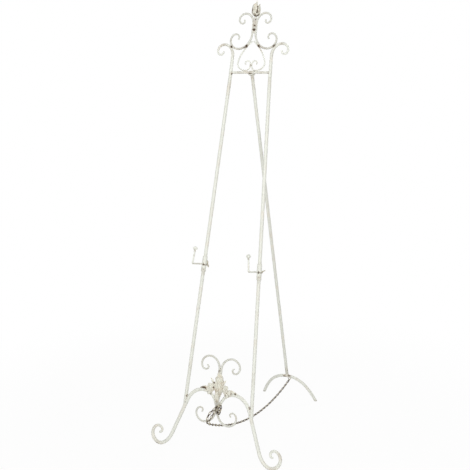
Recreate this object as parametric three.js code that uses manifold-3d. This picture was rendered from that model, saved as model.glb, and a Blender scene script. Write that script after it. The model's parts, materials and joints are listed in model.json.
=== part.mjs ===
import * as THREE from 'three';
import { mergeVertices } from 'three/addons/utils/BufferGeometryUtils.js';
import Module from 'manifold-3d';

// Tall display easel of bent bar and tube, with cast leaves, two sliding picture holders
// and a rear leg held by a chain. Lengths are in millimetres, angles in degrees.
// The front frame is drawn flat: x across, y to the back, z up along the frame.

const wasm = await Module();
wasm.setup();

// Fits and fineness
const touchGap = 0.3;
const slideGap = 0.3;
const overrun = 4;
const bendStep = 22;
const archStep = 15;
const leafStep = 8;
const fineStep = 5;
const fillSteps = 8;
const barSides = 8;
const scrollSides = 6;
const tubeSides = 12;
const wireSides = 6;
const nutSides = 6;
const halvings = 60;
const taperPower = 4;

// Front frame
const frontTilt = 11.84;
const upright = { diameter: 12.8, wall: 1.4, topHeight: 1376, topHalfSpan: 80.4, lean: 2.7 };
const leg = {
  diameter: 13,
  innerDiameter: 9.5,
  tipDiameter: 8,
  footHalfSpan: 228.2,
  footFlat: 0.5,
  riseAngle: 68.9,
  toeRadii: [14, 103],
  rise: 143.4,
  archRadii: [85.5, 53.9, 59.8],
  archSweep: 146.9,
  curlRadii: [36.7, 33.3, 17.8, 10.5, 7],
  curlSweep: 372,
  bodyShares: [0.2, 0.8],
};
const baseScroll = {
  diameter: 7.6,
  tipDiameter: 5.6,
  middle: 230,
  upperStem: 87.5,
  lowerStem: 59.3,
  upperRadii: [46.6, 35.5, 19.3, 8.6, 6.4],
  upperSweep: 436,
  lowerRadii: [55.1, 36.2, 19.2, 8, 6.4],
  lowerSweep: 420,
};

// Crest
const stile = {
  tipDiameter: 6,
  spigot: 26,
  straight: 77.4,
  lean: 1.5,
  curlRadii: [48.8, 30.7, 16.7, 11.2, 8.2],
  curlSweep: 372,
  taperPower: 1.4,
};
const crossbar = { diameter: 8.8, height: 1394 };
const crestScroll = {
  diameter: 7.4,
  tipDiameter: 5.4,
  middle: 1555,
  upperStem: 16.9,
  lowerStem: 17,
  upperRadii: [42, 26.1, 15.8, 8.4, 6],
  upperSweep: 400,
  lowerRadii: [66.2, 36.9, 22.8, 12.6, 6],
  lowerSweep: 415,
};
const heart = {
  diameter: 5,
  flankRadii: [49.2, 13.8],
  shoulderRadii: [13.8, 222.4],
  shoulderSweep: 50,
  throatRadii: [14.8, 26.3],
  throatSweep: 105,
  curlRadii: [13.8, 5],
  curlSweep: 215,
};
const finial = {
  rodDiameter: 5.6,
  rodBottom: 1536,
  beadDiameter: 11,
  beadHeight: 1592,
  budBottom: 1599.5,
  budHeight: 43,
  budDiameter: 33,
  spike: 13,
  spikeDiameter: 6,
  spikeFootShare: 0.33,
  lobes: 6,
  lobeDepth: 2.4,
};

// Cast leaves on the base
const centreLeaf = {
  bottom: 204,
  length: 104,
  width: 38,
  tipWidth: 2.4,
  edge: 2.2,
  crown: 4.6,
  flute: 1.3,
  flutes: 5,
  rows: 10,
  skewShare: 0.86,
  fullness: 0.8,
};
const sideLeaf = {
  edge: 2.2,
  crown: 3.2,
  tipWidth: 2.4,
  startX: 24,
  startHeight: 208,
  heading: 78,
  spineRadii: [60, 44, 24],
  spineSweep: 118,
  width: 30,
  lobes: 4,
  lobeDepth: 6,
  columns: 4,
  hollowShare: 0.33,
  cutShares: [0.06, 0.96],
  fullness: 0.7,
};

// Picture holders
const holder = {
  sleeveLength: 58,
  sleeveDiameter: 17.6,
  rodDiameter: 5.8,
  reach: 86,
  bendRadius: 4.5,
  upturn: 55,
  ballDiameter: 15.6,
  neckDiameter: 7.6,
  neckLength: 6,
  nutAcross: 12.5,
  nutThickness: 6.5,
  screwDiameter: 4.8,
  hubDiameter: 8.6,
  hubLength: 8,
  wingSpan: 22,
  wingHeight: 11,
  wingThickness: 2.6,
};
const leftHolder = { height: 689, hookLean: 6.3 };
const rightHolder = { height: 683, hookLean: -7.1 };

// Rear leg
const hinge = {
  behind: 14.5,
  pinDiameter: 5,
  earThickness: 2.5,
  earHeight: 16,
  headDiameter: 9,
  headThickness: 2.6,
};
const rear = { splay: 15.13, diameter: 12.2, archDiameter: 12, archRise: 104 };
const rearArch = {
  crownRadius: 150,
  crownSweep: 28,
  kneeRadius: 55,
  kneeSweep: 40,
  shinRadius: 420,
  shinSweep: 7,
  shin: 14,
};

// Chain
const link = { wire: 2.4, width: 9, pitch: 11.8, bite: 0.5, pivotGap: 0.8, sides: 4, bends: 8 };
const sagShares = [0.1, 10];
const eye = { x: 9.5, forward: 0.9, below: 15.6, span: 11, bend: 3 };
const chainFront = { x: -28.5, behind: -2, height: 114 };
// An odd count, so that both end links stand upright on the wires that hold them
const chainLinks = 55;
// Way of the chain's front end in the front frame: under the left base scroll, across the stems, down
const wrapRoute = [
  [-28.6, -9, 114.4],
  [-29.5, -15.8, 121],
  [-30.5, -16, 133],
  [-27, -16, 147],
  [-19, -15.5, 160],
  [-8, -15.3, 172],
  [3, -15.3, 183],
  [12, -14.5, 192],
  [19, -12.5, 190],
  [20, -12, 179],
  [16, -12, 167],
  [12, -12, 155],
];

const paint = { color: 0xe7e3d6, roughness: 0.62, metalness: 0.15 };
const castPaint = { color: 0xe2dcc8, roughness: 0.72, metalness: 0.12 };
const agedSteel = { color: 0x8d7b68, roughness: 0.6, metalness: 0.55 };

function radians(degrees) {
  return THREE.MathUtils.degToRad(degrees);
}

// Value at a share of the way along a list
function along(values, share) {
  const place = share * (values.length - 1);
  const first = Math.min(Math.floor(place), values.length - 2);
  return THREE.MathUtils.lerp(values[first], values[first + 1], place - first);
}

// Centre line of a bent bar in the x-z plane, walked from a start with straight and curved moves
function walk(start, heading, moves, step = bendStep) {
  const stations = [{ x: start.x, z: start.z, heading: radians(heading) }];
  for (const move of moves) {
    const steps = move.ahead ? 1 : Math.ceil(Math.abs(move.sweep) / step);
    const turn = move.ahead ? 0 : radians(move.sweep) / steps;
    for (let i = 0; i < steps; i++) {
      const last = stations[stations.length - 1];
      const share = (i + 0.5) / steps;
      const chord = move.ahead ?? 2 * along(move.radii, share) * Math.sin(Math.abs(turn) / 2);
      const middle = last.heading + turn / 2;
      stations.push({
        x: last.x + chord * Math.cos(middle),
        z: last.z + chord * Math.sin(middle),
        heading: last.heading + turn,
      });
    }
  }
  return stations;
}

function reversed(stations) {
  return stations.map((station) => ({ ...station, heading: station.heading + Math.PI })).reverse();
}

// One bar bent both ways from its middle
function bothWays(first, second) {
  return [...reversed(first), ...second.slice(1)];
}

function mirrored(stations, side) {
  if (side > 0) {
    return stations;
  }
  return stations.map((station) => ({ ...station, x: -station.x, heading: Math.PI - station.heading }));
}

// Gives each station the radius found for its share of the length
function thickened(stations, radiusAt) {
  let length = 0;
  const lengths = stations.map((station, i) => {
    const last = stations[Math.max(i - 1, 0)];
    length += Math.hypot(station.x - last.x, station.z - last.z);
    return length;
  });
  return stations.map((station, i) => ({ ...station, radius: radiusAt(lengths[i] / length) }));
}

// Full in the middle and thinner at both ends
function taperedBothWays(full, tip) {
  return (share) => THREE.MathUtils.lerp(full, tip, (2 * share - 1) ** taperPower) / 2;
}

// A round bar through the stations, each ring square to the bar with a corner in the bending plane
function bentBar(stations, sides = barSides, depth = 0) {
  const rings = stations.length - 1;
  const bar = welded(new THREE.CylinderGeometry(1, 1, rings, sides, rings, false, Math.PI / 2));
  const place = bar.attributes.position;
  for (let i = 0; i < place.count; i++) {
    const { x, z, heading, radius } = stations[Math.round(place.getY(i) + rings / 2)];
    const inward = place.getX(i) * radius;
    const back = place.getZ(i) * radius;
    place.setXYZ(i, x - inward * Math.sin(heading), depth + back, z + inward * Math.cos(heading));
  }
  return bar;
}

function cylinder(radius, length, sides = tubeSides) {
  return new THREE.CylinderGeometry(radius, radius, length, sides).rotateX(Math.PI / 2);
}

// Radius of the polygon whose flats lie on a circle
function flatsAt(radius, sides) {
  return radius / Math.cos(Math.PI / sides);
}

// Shape with shared corners and no seams
function welded(geometry) {
  const bare = geometry.clone();
  bare.deleteAttribute('normal');
  bare.deleteAttribute('uv');
  return mergeVertices(bare);
}

function solidOf(geometry) {
  const merged = welded(geometry);
  return new wasm.Manifold(new wasm.Mesh({
    numProp: 3,
    vertProperties: Float32Array.from(merged.attributes.position.array),
    triVerts: Uint32Array.from(merged.index.array),
  }));
}

function geometryOf(solid) {
  const mesh = solid.getMesh();
  const geometry = new THREE.BufferGeometry();
  geometry.setAttribute('position', new THREE.BufferAttribute(mesh.vertProperties, 3));
  geometry.setIndex(new THREE.BufferAttribute(mesh.triVerts, 1));
  geometry.computeVertexNormals();
  return geometry;
}

function cut(geometry, ...cutters) {
  return geometryOf(cutters.reduce((solid, cutter) => solid.subtract(solidOf(cutter)), solidOf(geometry)));
}

function joined(...geometries) {
  const [first, ...others] = geometries;
  return geometryOf(others.reduce((solid, other) => solid.add(solidOf(other)), solidOf(first)));
}

function addPiece(parent, name, geometry, finish) {
  const piece = new THREE.Mesh(geometry, new THREE.MeshStandardMaterial(finish));
  piece.name = name;
  parent.add(piece);
  return piece;
}

const easel = new THREE.Group();
const front = new THREE.Group();
front.rotation.x = -radians(frontTilt);
easel.add(front);

// Place of a point of the front frame's plane in the standing easel
function standing(x, y, z) {
  return new THREE.Vector3(x, y, z).applyEuler(front.rotation);
}

// A block under the floor, seen from inside a turned frame
function floorBlock(frame) {
  const size = 2 * (leg.footHalfSpan + upright.topHeight);
  frame.updateMatrixWorld(true);
  const block = new THREE.BoxGeometry(size, size, size).translate(0, 0, -size / 2);
  return block.applyMatrix4(frame.matrixWorld.clone().invert());
}

// The stations with more of them in between, on the same straight pieces
function filled(stations) {
  const { lerp } = THREE.MathUtils;
  return stations.slice(1).flatMap((next, i) => {
    const last = stations[i];
    return Array.from({ length: fillSteps }, (_, step) => {
      const share = step / fillSteps;
      return {
        x: lerp(last.x, next.x, share),
        z: lerp(last.z, next.z, share),
        radius: lerp(last.radius, next.radius, share),
      };
    });
  });
}

// Smallest gap between two bars of the same plane
function apart(one, other) {
  const line = new THREE.Line3();
  const nearest = new THREE.Vector3();
  let least = Infinity;
  for (const station of filled(one)) {
    const point = new THREE.Vector3(station.x, 0, station.z);
    for (let i = 1; i < other.length; i++) {
      line.start.set(other[i - 1].x, 0, other[i - 1].z);
      line.end.set(other[i].x, 0, other[i].z);
      line.closestPointToPoint(point, true, nearest);
      least = Math.min(least, nearest.distanceTo(point) - station.radius - other[i].radius);
    }
  }
  return least;
}

// Largest scale at which a bent bar still keeps the touching gap from a neighbour
const growShares = [0.7, 1.3];
function grownUntilTouching(makePath, neighbour) {
  let [fits, clashes] = growShares;
  for (let i = 0; i < halvings; i++) {
    const trial = (fits + clashes) / 2;
    if (apart(makePath(trial), neighbour) > touchGap) {
      fits = trial;
    } else {
      clashes = trial;
    }
  }
  return fits;
}

function scaled(values, scale) {
  return values.map((value) => value * scale);
}

// Legs: one bar each from the foot curl over the arch to the middle
function legPath(step) {
  const foot = { x: leg.footHalfSpan, z: (leg.diameter / 2 - leg.footFlat) / Math.cos(radians(frontTilt)) };
  const inner = walk(foot, 180, [
    { sweep: -leg.riseAngle, radii: leg.toeRadii },
    { ahead: leg.rise },
    { sweep: leg.archSweep, radii: leg.archRadii },
  ], step);
  const curl = walk(foot, 0, [{ sweep: leg.curlSweep, radii: leg.curlRadii }], step);
  return bothWays(curl, inner);
}

// Full along the body, thinner towards the foot's tip and towards the middle of the easel
function legRadius(share) {
  const { diameter, tipDiameter, innerDiameter } = leg;
  const [bodyStart, bodyEnd] = leg.bodyShares;
  if (share < bodyStart) {
    return THREE.MathUtils.lerp(tipDiameter, diameter, share / bodyStart) / 2;
  }
  return THREE.MathUtils.lerp(diameter, innerDiameter, Math.max(0, (share - bodyEnd) / (1 - bodyEnd))) / 2;
}

function addLegs() {
  for (const [name, side] of [['left_leg', -1], ['right_leg', 1]]) {
    const bar = bentBar(mirrored(thickened(legPath(), legRadius), side));
    addPiece(front, name, cut(bar, floorBlock(front)), paint);
  }
}

// Uprights: straight tubes, coped over the legs and open at the top
function uprightX(height) {
  return upright.topHalfSpan + (upright.topHeight - height) * Math.tan(radians(upright.lean));
}

function uprightSeat() {
  const path = legPath(fineStep);
  const outer = path.filter((station) => station.x > upright.topHalfSpan && station.z > leg.diameter);
  let best = outer[0];
  for (const station of outer) {
    if (Math.abs(station.x - uprightX(station.z)) < Math.abs(best.x - uprightX(best.z))) {
      best = station;
    }
  }
  return best.z;
}

// Turned frame whose z axis runs up an upright, with its origin at a height on the tube's axis
function uprightFrame(side, height) {
  const frame = new THREE.Group();
  frame.position.set(side * uprightX(height), 0, height);
  frame.rotation.y = -side * radians(upright.lean);
  front.add(frame);
  return frame;
}

function addUprights() {
  const seat = uprightSeat();
  const length = (upright.topHeight - seat) / Math.cos(radians(upright.lean));
  const section = new THREE.Shape().absarc(0, 0, upright.diameter / 2, 0, 2 * Math.PI);
  section.holes.push(new THREE.Path().absarc(0, 0, upright.diameter / 2 - upright.wall, 0, 2 * Math.PI));
  const legShape = thickened(legPath(), (share) => legRadius(share) + flatsAt(touchGap, barSides));
  for (const [name, side] of [['left_upright', -1], ['right_upright', 1]]) {
    const frame = uprightFrame(side, seat);
    const tube = new THREE.ExtrudeGeometry(section, {
      depth: length, bevelEnabled: false, curveSegments: tubeSides, steps: 1,
    });
    frame.updateMatrix();
    const cope = bentBar(mirrored(legShape, side)).applyMatrix4(frame.matrix.clone().invert());
    addPiece(frame, name, cut(tube, cope), paint);
  }
}

// Base scrolls: a pair of bars back to back on the middle line, in front of the legs' inner ends
const baseScrollX = (baseScroll.diameter + touchGap) / 2;

function baseScrollDepth() {
  const path = legPath();
  const across = path[path.length - 1].x - baseScrollX;
  const reach = (leg.innerDiameter + baseScroll.diameter) / 2 + touchGap;
  return -Math.sqrt(Math.max(reach ** 2 - across ** 2, 0));
}

function baseScrollPath() {
  const middle = { x: baseScrollX, z: baseScroll.middle };
  const upper = walk(middle, 90, [
    { ahead: baseScroll.upperStem },
    { sweep: -baseScroll.upperSweep, radii: baseScroll.upperRadii },
  ]);
  const lower = walk(middle, -90, [
    { ahead: baseScroll.lowerStem },
    { sweep: baseScroll.lowerSweep, radii: baseScroll.lowerRadii },
  ]);
  return bothWays(upper, lower);
}

function addBaseScrolls() {
  const path = thickened(baseScrollPath(), taperedBothWays(baseScroll.diameter, baseScroll.tipDiameter));
  for (const [name, side] of [['left_base_scroll', -1], ['right_base_scroll', 1]]) {
    addPiece(front, name, bentBar(mirrored(path, side), scrollSides, baseScrollDepth()), paint);
  }
}

// Crest stiles: a spigot in the upright, then the bar that curls outwards
const stileHeight = upright.topHeight + touchGap;

function stilePath() {
  const foot = { x: uprightX(stileHeight), z: stileHeight };
  const path = walk(foot, 90 + stile.lean, [
    { ahead: stile.straight },
    { sweep: -stile.curlSweep, radii: stile.curlRadii },
  ]);
  return thickened(path, (share) => {
    return THREE.MathUtils.lerp(upright.diameter, stile.tipDiameter, share ** stile.taperPower) / 2;
  });
}

function stileX(height) {
  return uprightX(stileHeight) - (height - stileHeight) * Math.tan(radians(stile.lean));
}

function addStiles() {
  const body = stilePath();
  const spigotRadius = upright.diameter / 2 - upright.wall - slideGap - touchGap;
  const down = radians(90 + upright.lean);
  const bottom = {
    x: body[0].x - stile.spigot * Math.cos(down),
    z: body[0].z - stile.spigot * Math.sin(down),
    heading: down,
    radius: spigotRadius,
  };
  const neck = { ...body[0], heading: down, radius: spigotRadius };
  const path = [bottom, neck, ...body];
  for (const [name, side] of [['left_crest_stile', -1], ['right_crest_stile', 1]]) {
    addPiece(front, name, bentBar(mirrored(path, side)), paint);
  }
}

function addCrossbar() {
  const halfLength = stileX(crossbar.height) - upright.diameter / 2 - touchGap;
  const bar = cylinder(crossbar.diameter / 2, 2 * halfLength).rotateY(Math.PI / 2);
  addPiece(front, 'crest_crossbar', bar.translate(0, 0, crossbar.height), paint);
}

// Crest scrolls: S-shaped bars on both sides of the finial's rod, touching the stiles' curls
const crestScrollX = finial.rodDiameter / 2 + touchGap + crestScroll.diameter / 2;

function crestScrollPath(lowerScale) {
  const middle = { x: crestScrollX, z: crestScroll.middle };
  const upper = walk(middle, 90, [
    { ahead: crestScroll.upperStem },
    { sweep: -crestScroll.upperSweep, radii: crestScroll.upperRadii },
  ]);
  const lower = walk(middle, -90, [
    { ahead: crestScroll.lowerStem },
    { sweep: crestScroll.lowerSweep, radii: scaled(crestScroll.lowerRadii, lowerScale) },
  ]);
  return thickened(bothWays(upper, lower), taperedBothWays(crestScroll.diameter, crestScroll.tipDiameter));
}

const crestScrollScale = grownUntilTouching((scale) => crestScrollPath(scale), stilePath());

function addCrestScrolls() {
  const path = crestScrollPath(crestScrollScale);
  for (const [name, side] of [['left_crest_scroll', -1], ['right_crest_scroll', 1]]) {
    addPiece(front, name, bentBar(mirrored(path, side), scrollSides), paint);
  }
}

// Heart: two thin wires that meet in the middle, stand on the crossbar and reach up to the crest scrolls
function heartPath(scale) {
  const lobe = { x: 0, z: crossbar.height + (crossbar.diameter + heart.diameter) / 2 + touchGap };
  const outer = walk(lobe, 0, [
    { sweep: 90, radii: scaled(heart.flankRadii, scale) },
    { sweep: heart.shoulderSweep, radii: scaled(heart.shoulderRadii, scale) },
  ]);
  const inner = walk(lobe, 180, [
    { sweep: -heart.throatSweep, radii: scaled(heart.throatRadii, scale) },
    { sweep: -heart.curlSweep, radii: scaled(heart.curlRadii, scale) },
  ]);
  const path = thickened(bothWays(inner, outer), () => heart.diameter / 2);
  const innermost = Math.min(...path.map((station) => station.x));
  const shift = (heart.diameter + touchGap) / 2 - innermost;
  return path.map((station) => ({ ...station, x: station.x + shift }));
}

function addHeart() {
  const path = heartPath(grownUntilTouching((scale) => heartPath(scale), crestScrollPath(crestScrollScale)));
  for (const [name, side] of [['left_heart_wire', -1], ['right_heart_wire', 1]]) {
    addPiece(front, name, bentBar(mirrored(path, side), wireSides), paint);
  }
}

// Finial: a rod with a bead between the crest scrolls, and a lobed cast bud on top
const budShares = [
  [0.16, 0],
  [0.3, 0.02],
  [0.42, 0.16],
  [0.66, 0.36],
  [0.92, 0.58],
  [1, 0.74],
  [0.9, 0.9],
  [0.6, 1],
];

function addFinial() {
  const rodRadius = finial.rodDiameter / 2;
  const beadRadius = finial.beadDiameter / 2;
  const rodTop = finial.budBottom - touchGap;
  const profile = [new THREE.Vector2(0, finial.rodBottom), new THREE.Vector2(rodRadius, finial.rodBottom)];
  const beadHalf = Math.sqrt(beadRadius ** 2 - rodRadius ** 2);
  for (let i = 0; i <= barSides; i++) {
    const height = finial.beadHeight + beadHalf * (2 * i / barSides - 1);
    const width = Math.sqrt(beadRadius ** 2 - (height - finial.beadHeight) ** 2);
    profile.push(new THREE.Vector2(width, height));
  }
  profile.push(new THREE.Vector2(rodRadius, rodTop), new THREE.Vector2(0, rodTop));
  addPiece(front, 'finial_rod', new THREE.LatheGeometry(profile, tubeSides).rotateX(Math.PI / 2), paint);

  const budRadius = finial.budDiameter / 2;
  const spikeRadius = finial.spikeDiameter / 2;
  const budTop = finial.budBottom + finial.budHeight;
  const outline = [new THREE.Vector2(0, finial.budBottom)];
  for (const [widthShare, heightShare] of budShares) {
    const height = finial.budBottom + heightShare * finial.budHeight;
    outline.push(new THREE.Vector2(widthShare * budRadius, height));
  }
  outline.push(
    new THREE.Vector2(spikeRadius, budTop),
    new THREE.Vector2(spikeRadius, budTop + finial.spike * finial.spikeFootShare),
    new THREE.Vector2(0, budTop + finial.spike),
  );
  const bud = new THREE.LatheGeometry(outline, 3 * finial.lobes);
  const place = bud.attributes.position;
  for (let i = 0; i < place.count; i++) {
    const across = Math.hypot(place.getX(i), place.getZ(i));
    const angle = Math.atan2(place.getX(i), place.getZ(i));
    const depth = finial.lobeDepth * Math.max(0, across / budRadius - spikeRadius / budRadius);
    const narrowed = across > 0 ? 1 - depth * (1 - Math.cos(finial.lobes * angle)) / 2 / across : 1;
    place.setX(i, place.getX(i) * narrowed);
    place.setZ(i, place.getZ(i) * narrowed);
  }
  addPiece(front, 'finial_bud', bud.rotateX(Math.PI / 2), castPaint);
}

// A cast leaf on a spine in the x-z plane: back flat, front crowned and ribbed
function castLeaf({ spine, halfWidth, front: frontAt, edge, columns, rows, backY }) {
  const leaf = new THREE.BoxGeometry(2, rows, 1, columns, rows, 1);
  const place = leaf.attributes.position;
  for (let i = 0; i < place.count; i++) {
    const row = Math.round(place.getY(i) + rows / 2);
    const across = place.getX(i);
    const station = spine[row];
    const offset = across * halfWidth(row / rows, Math.sign(across));
    const forward = place.getZ(i) > 0 ? edge + frontAt(across, row / rows) : 0;
    place.setXYZ(
      i,
      station.x + offset * Math.sin(station.heading),
      backY - forward,
      station.z - offset * Math.cos(station.heading),
    );
  }
  return leaf;
}

function addCentreLeaf() {
  const { width, tipWidth, crown, flute, flutes, rows } = centreLeaf;
  const spine = [];
  for (let row = 0; row <= rows; row++) {
    spine.push({ x: 0, z: centreLeaf.bottom + centreLeaf.length * row / rows, heading: Math.PI / 2 });
  }
  const bulge = (share) => Math.sin(Math.PI * share ** centreLeaf.skewShare) ** centreLeaf.fullness;
  const leaf = castLeaf({
    spine,
    halfWidth: (share) => THREE.MathUtils.lerp(tipWidth, width, bulge(share)) / 2,
    front: (across, share) => bulge(share) * (crown * (1 - across ** 2)
      + flute * Math.cos(Math.PI * flutes * across)),
    edge: centreLeaf.edge,
    columns: 2 * flutes,
    rows,
    backY: baseScrollDepth() - baseScroll.diameter / 2 - touchGap,
  });
  addPiece(front, 'centre_leaf', leaf, castPaint);
}

function addSideLeaves() {
  const { width, tipWidth, crown, lobes, lobeDepth, hollowShare } = sideLeaf;
  const start = { x: sideLeaf.startX, z: sideLeaf.startHeight };
  const bend = { sweep: -sideLeaf.spineSweep, radii: sideLeaf.spineRadii };
  const spine = walk(start, sideLeaf.heading, [bend], leafStep);
  const rows = spine.length - 1;
  const bulge = (share) => Math.sin(Math.PI * along(sideLeaf.cutShares, share)) ** sideLeaf.fullness;
  const wave = (share) => Math.abs(Math.cos(Math.PI * lobes * share));
  const fullWidth = (share) => width - lobeDepth * wave(share);
  const halfWidth = (share) => THREE.MathUtils.lerp(tipWidth, fullWidth(share), bulge(share)) / 2;
  for (const [name, side] of [['left_side_leaf', -1], ['right_side_leaf', 1]]) {
    const leaf = castLeaf({
      spine: mirrored(spine, side),
      halfWidth,
      front: (across, share) => crown * bulge(share) * (1 - across ** 2) * (1 - hollowShare * wave(share)),
      edge: sideLeaf.edge,
      columns: sideLeaf.columns,
      rows,
      backY: -(leg.diameter / 2 + touchGap),
    });
    addPiece(front, name, leaf, castPaint);
  }
}

// Picture holders: a sleeve that slides on the upright, a hook with a ball, a nut and a wing screw
function addHolder(word, side, setting) {
  const frame = uprightFrame(side, setting.height);
  const sleeveRadius = holder.sleeveDiameter / 2;
  const boreRadius = flatsAt(upright.diameter / 2 + slideGap, tubeSides);
  const screwRadius = holder.screwDiameter / 2;
  const screwHole = flatsAt(screwRadius + slideGap, tubeSides);
  const alongY = (geometry) => geometry.rotateX(Math.PI / 2);

  const section = new THREE.Shape().absarc(0, 0, sleeveRadius, 0, 2 * Math.PI);
  section.holes.push(new THREE.Path().absarc(0, 0, boreRadius, 0, 2 * Math.PI));
  const sleeve = new THREE.ExtrudeGeometry(section, {
    depth: holder.sleeveLength, bevelEnabled: false, curveSegments: tubeSides, steps: 1,
  }).translate(0, 0, -holder.sleeveLength / 2);
  const hole = alongY(cylinder(screwHole, sleeveRadius)).translate(0, sleeveRadius, 0);
  addPiece(frame, `${word}_sleeve`, cut(sleeve, hole), paint);

  const rodRadius = holder.rodDiameter / 2;
  const hookStart = { x: sleeveRadius + touchGap, z: 0 };
  const run = holder.reach - hookStart.x - holder.bendRadius;
  const rise = holder.upturn - holder.bendRadius - holder.ballDiameter / 2 - holder.neckLength - touchGap;
  const hookPath = thickened(walk(hookStart, 0, [
    { ahead: run },
    { sweep: 90 + setting.hookLean, radii: [holder.bendRadius, holder.bendRadius] },
    { ahead: rise },
  ]), () => rodRadius);
  addPiece(frame, `${word}_hook`, bentBar(hookPath).rotateZ(-Math.PI / 2), paint);

  const end = hookPath[hookPath.length - 1];
  const profile = [new THREE.Vector2(0, 0), new THREE.Vector2(rodRadius, 0)];
  const ballRadius = holder.ballDiameter / 2;
  const ballCentre = holder.neckLength + ballRadius;
  const startAngle = Math.asin(holder.neckDiameter / 2 / ballRadius);
  for (let i = 0; i <= barSides; i++) {
    const angle = THREE.MathUtils.lerp(startAngle, Math.PI, i / barSides);
    profile.push(new THREE.Vector2(ballRadius * Math.sin(angle), ballCentre - ballRadius * Math.cos(angle)));
  }
  const ball = new THREE.LatheGeometry(profile, tubeSides).rotateX(Math.PI / 2);
  ball.rotateX(Math.PI / 2 - end.heading);
  ball.translate(0, -end.x - touchGap * Math.cos(end.heading), end.z + touchGap * Math.sin(end.heading));
  addPiece(frame, `${word}_ball`, ball, paint);

  const nut = alongY(cylinder(flatsAt(holder.nutAcross / 2, nutSides), holder.nutThickness, nutSides));
  const nutY = sleeveRadius + touchGap + holder.nutThickness / 2;
  const nutHole = alongY(cylinder(screwHole, holder.nutThickness + overrun));
  addPiece(frame, `${word}_clamp_nut`, cut(nut, nutHole).translate(0, nutY, 0), agedSteel);

  const shankStart = upright.diameter / 2 + touchGap;
  const hubStart = nutY + holder.nutThickness / 2 + touchGap;
  const hubEnd = hubStart + holder.hubLength;
  const shank = alongY(cylinder(screwRadius, hubEnd - shankStart)).translate(0, (hubEnd + shankStart) / 2, 0);
  const hub = alongY(cylinder(holder.hubDiameter / 2, holder.hubLength));
  hub.translate(0, (hubEnd + hubStart) / 2, 0);
  const paddle = new THREE.Shape();
  paddle.absellipse(0, 0, holder.wingSpan / 2, holder.wingHeight / 2, 0, 2 * Math.PI);
  const wings = new THREE.ExtrudeGeometry(paddle, {
    depth: holder.wingThickness, bevelEnabled: false, curveSegments: barSides, steps: 1,
  }).translate(0, holder.wingHeight / 2 - screwRadius, -holder.wingThickness / 2);
  const screw = joined(shank, hub, wings.translate(0, hubEnd, 0));
  addPiece(frame, `${word}_wing_screw`, screw, paint);
}

// Hinge: two ears behind the crossbar, a pin, and the drilled head of the rear leg
const hingePoint = standing(0, hinge.behind, crossbar.height);

function addHinge() {
  const earX = rear.diameter / 2 + slideGap + hinge.earThickness / 2;
  const back = crossbar.diameter / 2 + touchGap;
  const holeRadius = flatsAt(hinge.pinDiameter / 2 + touchGap, tubeSides);
  const outline = new THREE.Shape();
  outline.moveTo(back, -hinge.earHeight / 2);
  outline.lineTo(hinge.behind, -hinge.earHeight / 2);
  outline.absarc(hinge.behind, 0, hinge.earHeight / 2, -Math.PI / 2, Math.PI / 2);
  outline.lineTo(back, hinge.earHeight / 2);
  outline.closePath();
  const web = new THREE.BoxGeometry(2 * earX, hinge.earThickness, hinge.earHeight);
  web.translate(0, back + hinge.earThickness / 2, 0);
  const ears = [-1, 1].map((side) => {
    const ear = new THREE.ExtrudeGeometry(outline, {
      depth: hinge.earThickness, bevelEnabled: false, curveSegments: barSides,
    });
    ear.rotateX(Math.PI / 2).rotateZ(Math.PI / 2);
    return ear.translate(side * earX - hinge.earThickness / 2, 0, 0);
  });
  const pinLine = (radius, length) => {
    return cylinder(radius, length).rotateY(Math.PI / 2).translate(0, hinge.behind, 0);
  };
  const bore = pinLine(holeRadius, 2 * earX + hinge.earThickness + overrun);
  const bracket = cut(joined(web, ...ears), bore);
  addPiece(front, 'hinge_bracket', bracket.translate(0, 0, crossbar.height), paint);

  const outer = earX + hinge.earThickness / 2 + touchGap;
  const shank = pinLine(hinge.pinDiameter / 2, 2 * outer);
  const heads = [-1, 1].map((side) => pinLine(hinge.headDiameter / 2, hinge.headThickness)
    .translate(side * (outer + hinge.headThickness / 2), 0, 0));
  addPiece(front, 'hinge_pin', joined(shank, ...heads).translate(0, 0, crossbar.height), agedSteel);
}

// Rear leg and its arched foot
const rearFrame = new THREE.Group();
rearFrame.position.copy(hingePoint);
rearFrame.rotation.x = radians(rear.splay);
rearFrame.updateMatrixWorld(true);
easel.add(rearFrame);
const crownDrop = hingePoint.z / Math.cos(radians(rear.splay)) - rear.archRise;

function rearArchPath() {
  const crown = { x: 0, z: -crownDrop };
  const half = walk(crown, 0, [
    { sweep: -rearArch.crownSweep, radii: [rearArch.crownRadius, rearArch.crownRadius] },
    { sweep: -rearArch.kneeSweep, radii: [rearArch.kneeRadius, rearArch.kneeRadius] },
    { sweep: -rearArch.shinSweep, radii: [rearArch.shinRadius, rearArch.shinRadius] },
    { ahead: rearArch.shin },
  ], archStep);
  return [...reversed(mirrored(half, -1)), ...half.slice(1)];
}

// The arch with the touching gap around it, to cut what stands on it
function archCutter() {
  const radius = rear.archDiameter / 2 + flatsAt(touchGap, tubeSides);
  return bentBar(thickened(rearArchPath(), () => radius), tubeSides);
}

function addRearLeg() {
  const arch = bentBar(thickened(rearArchPath(), () => rear.archDiameter / 2), tubeSides);
  addPiece(rearFrame, 'rear_arch_foot', cut(arch, floorBlock(rearFrame)), paint);

  const barrel = cylinder(rear.diameter / 2, rear.diameter, 2 * tubeSides).rotateY(Math.PI / 2);
  const tube = joined(cylinder(rear.diameter / 2, crownDrop).translate(0, 0, -crownDrop / 2), barrel);
  const holeRadius = flatsAt(hinge.pinDiameter / 2 + touchGap, tubeSides);
  const pinHole = cylinder(holeRadius, rear.diameter + overrun).rotateY(Math.PI / 2);
  addPiece(rearFrame, 'rear_leg', cut(tube, pinHole, archCutter()), paint);
}

// Staple under the arch: its cross wire holds the chain's last link
const staplePoint = new THREE.Vector3(eye.x, -eye.forward, -crownDrop - eye.below)
  .applyMatrix4(rearFrame.matrixWorld);

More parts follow.
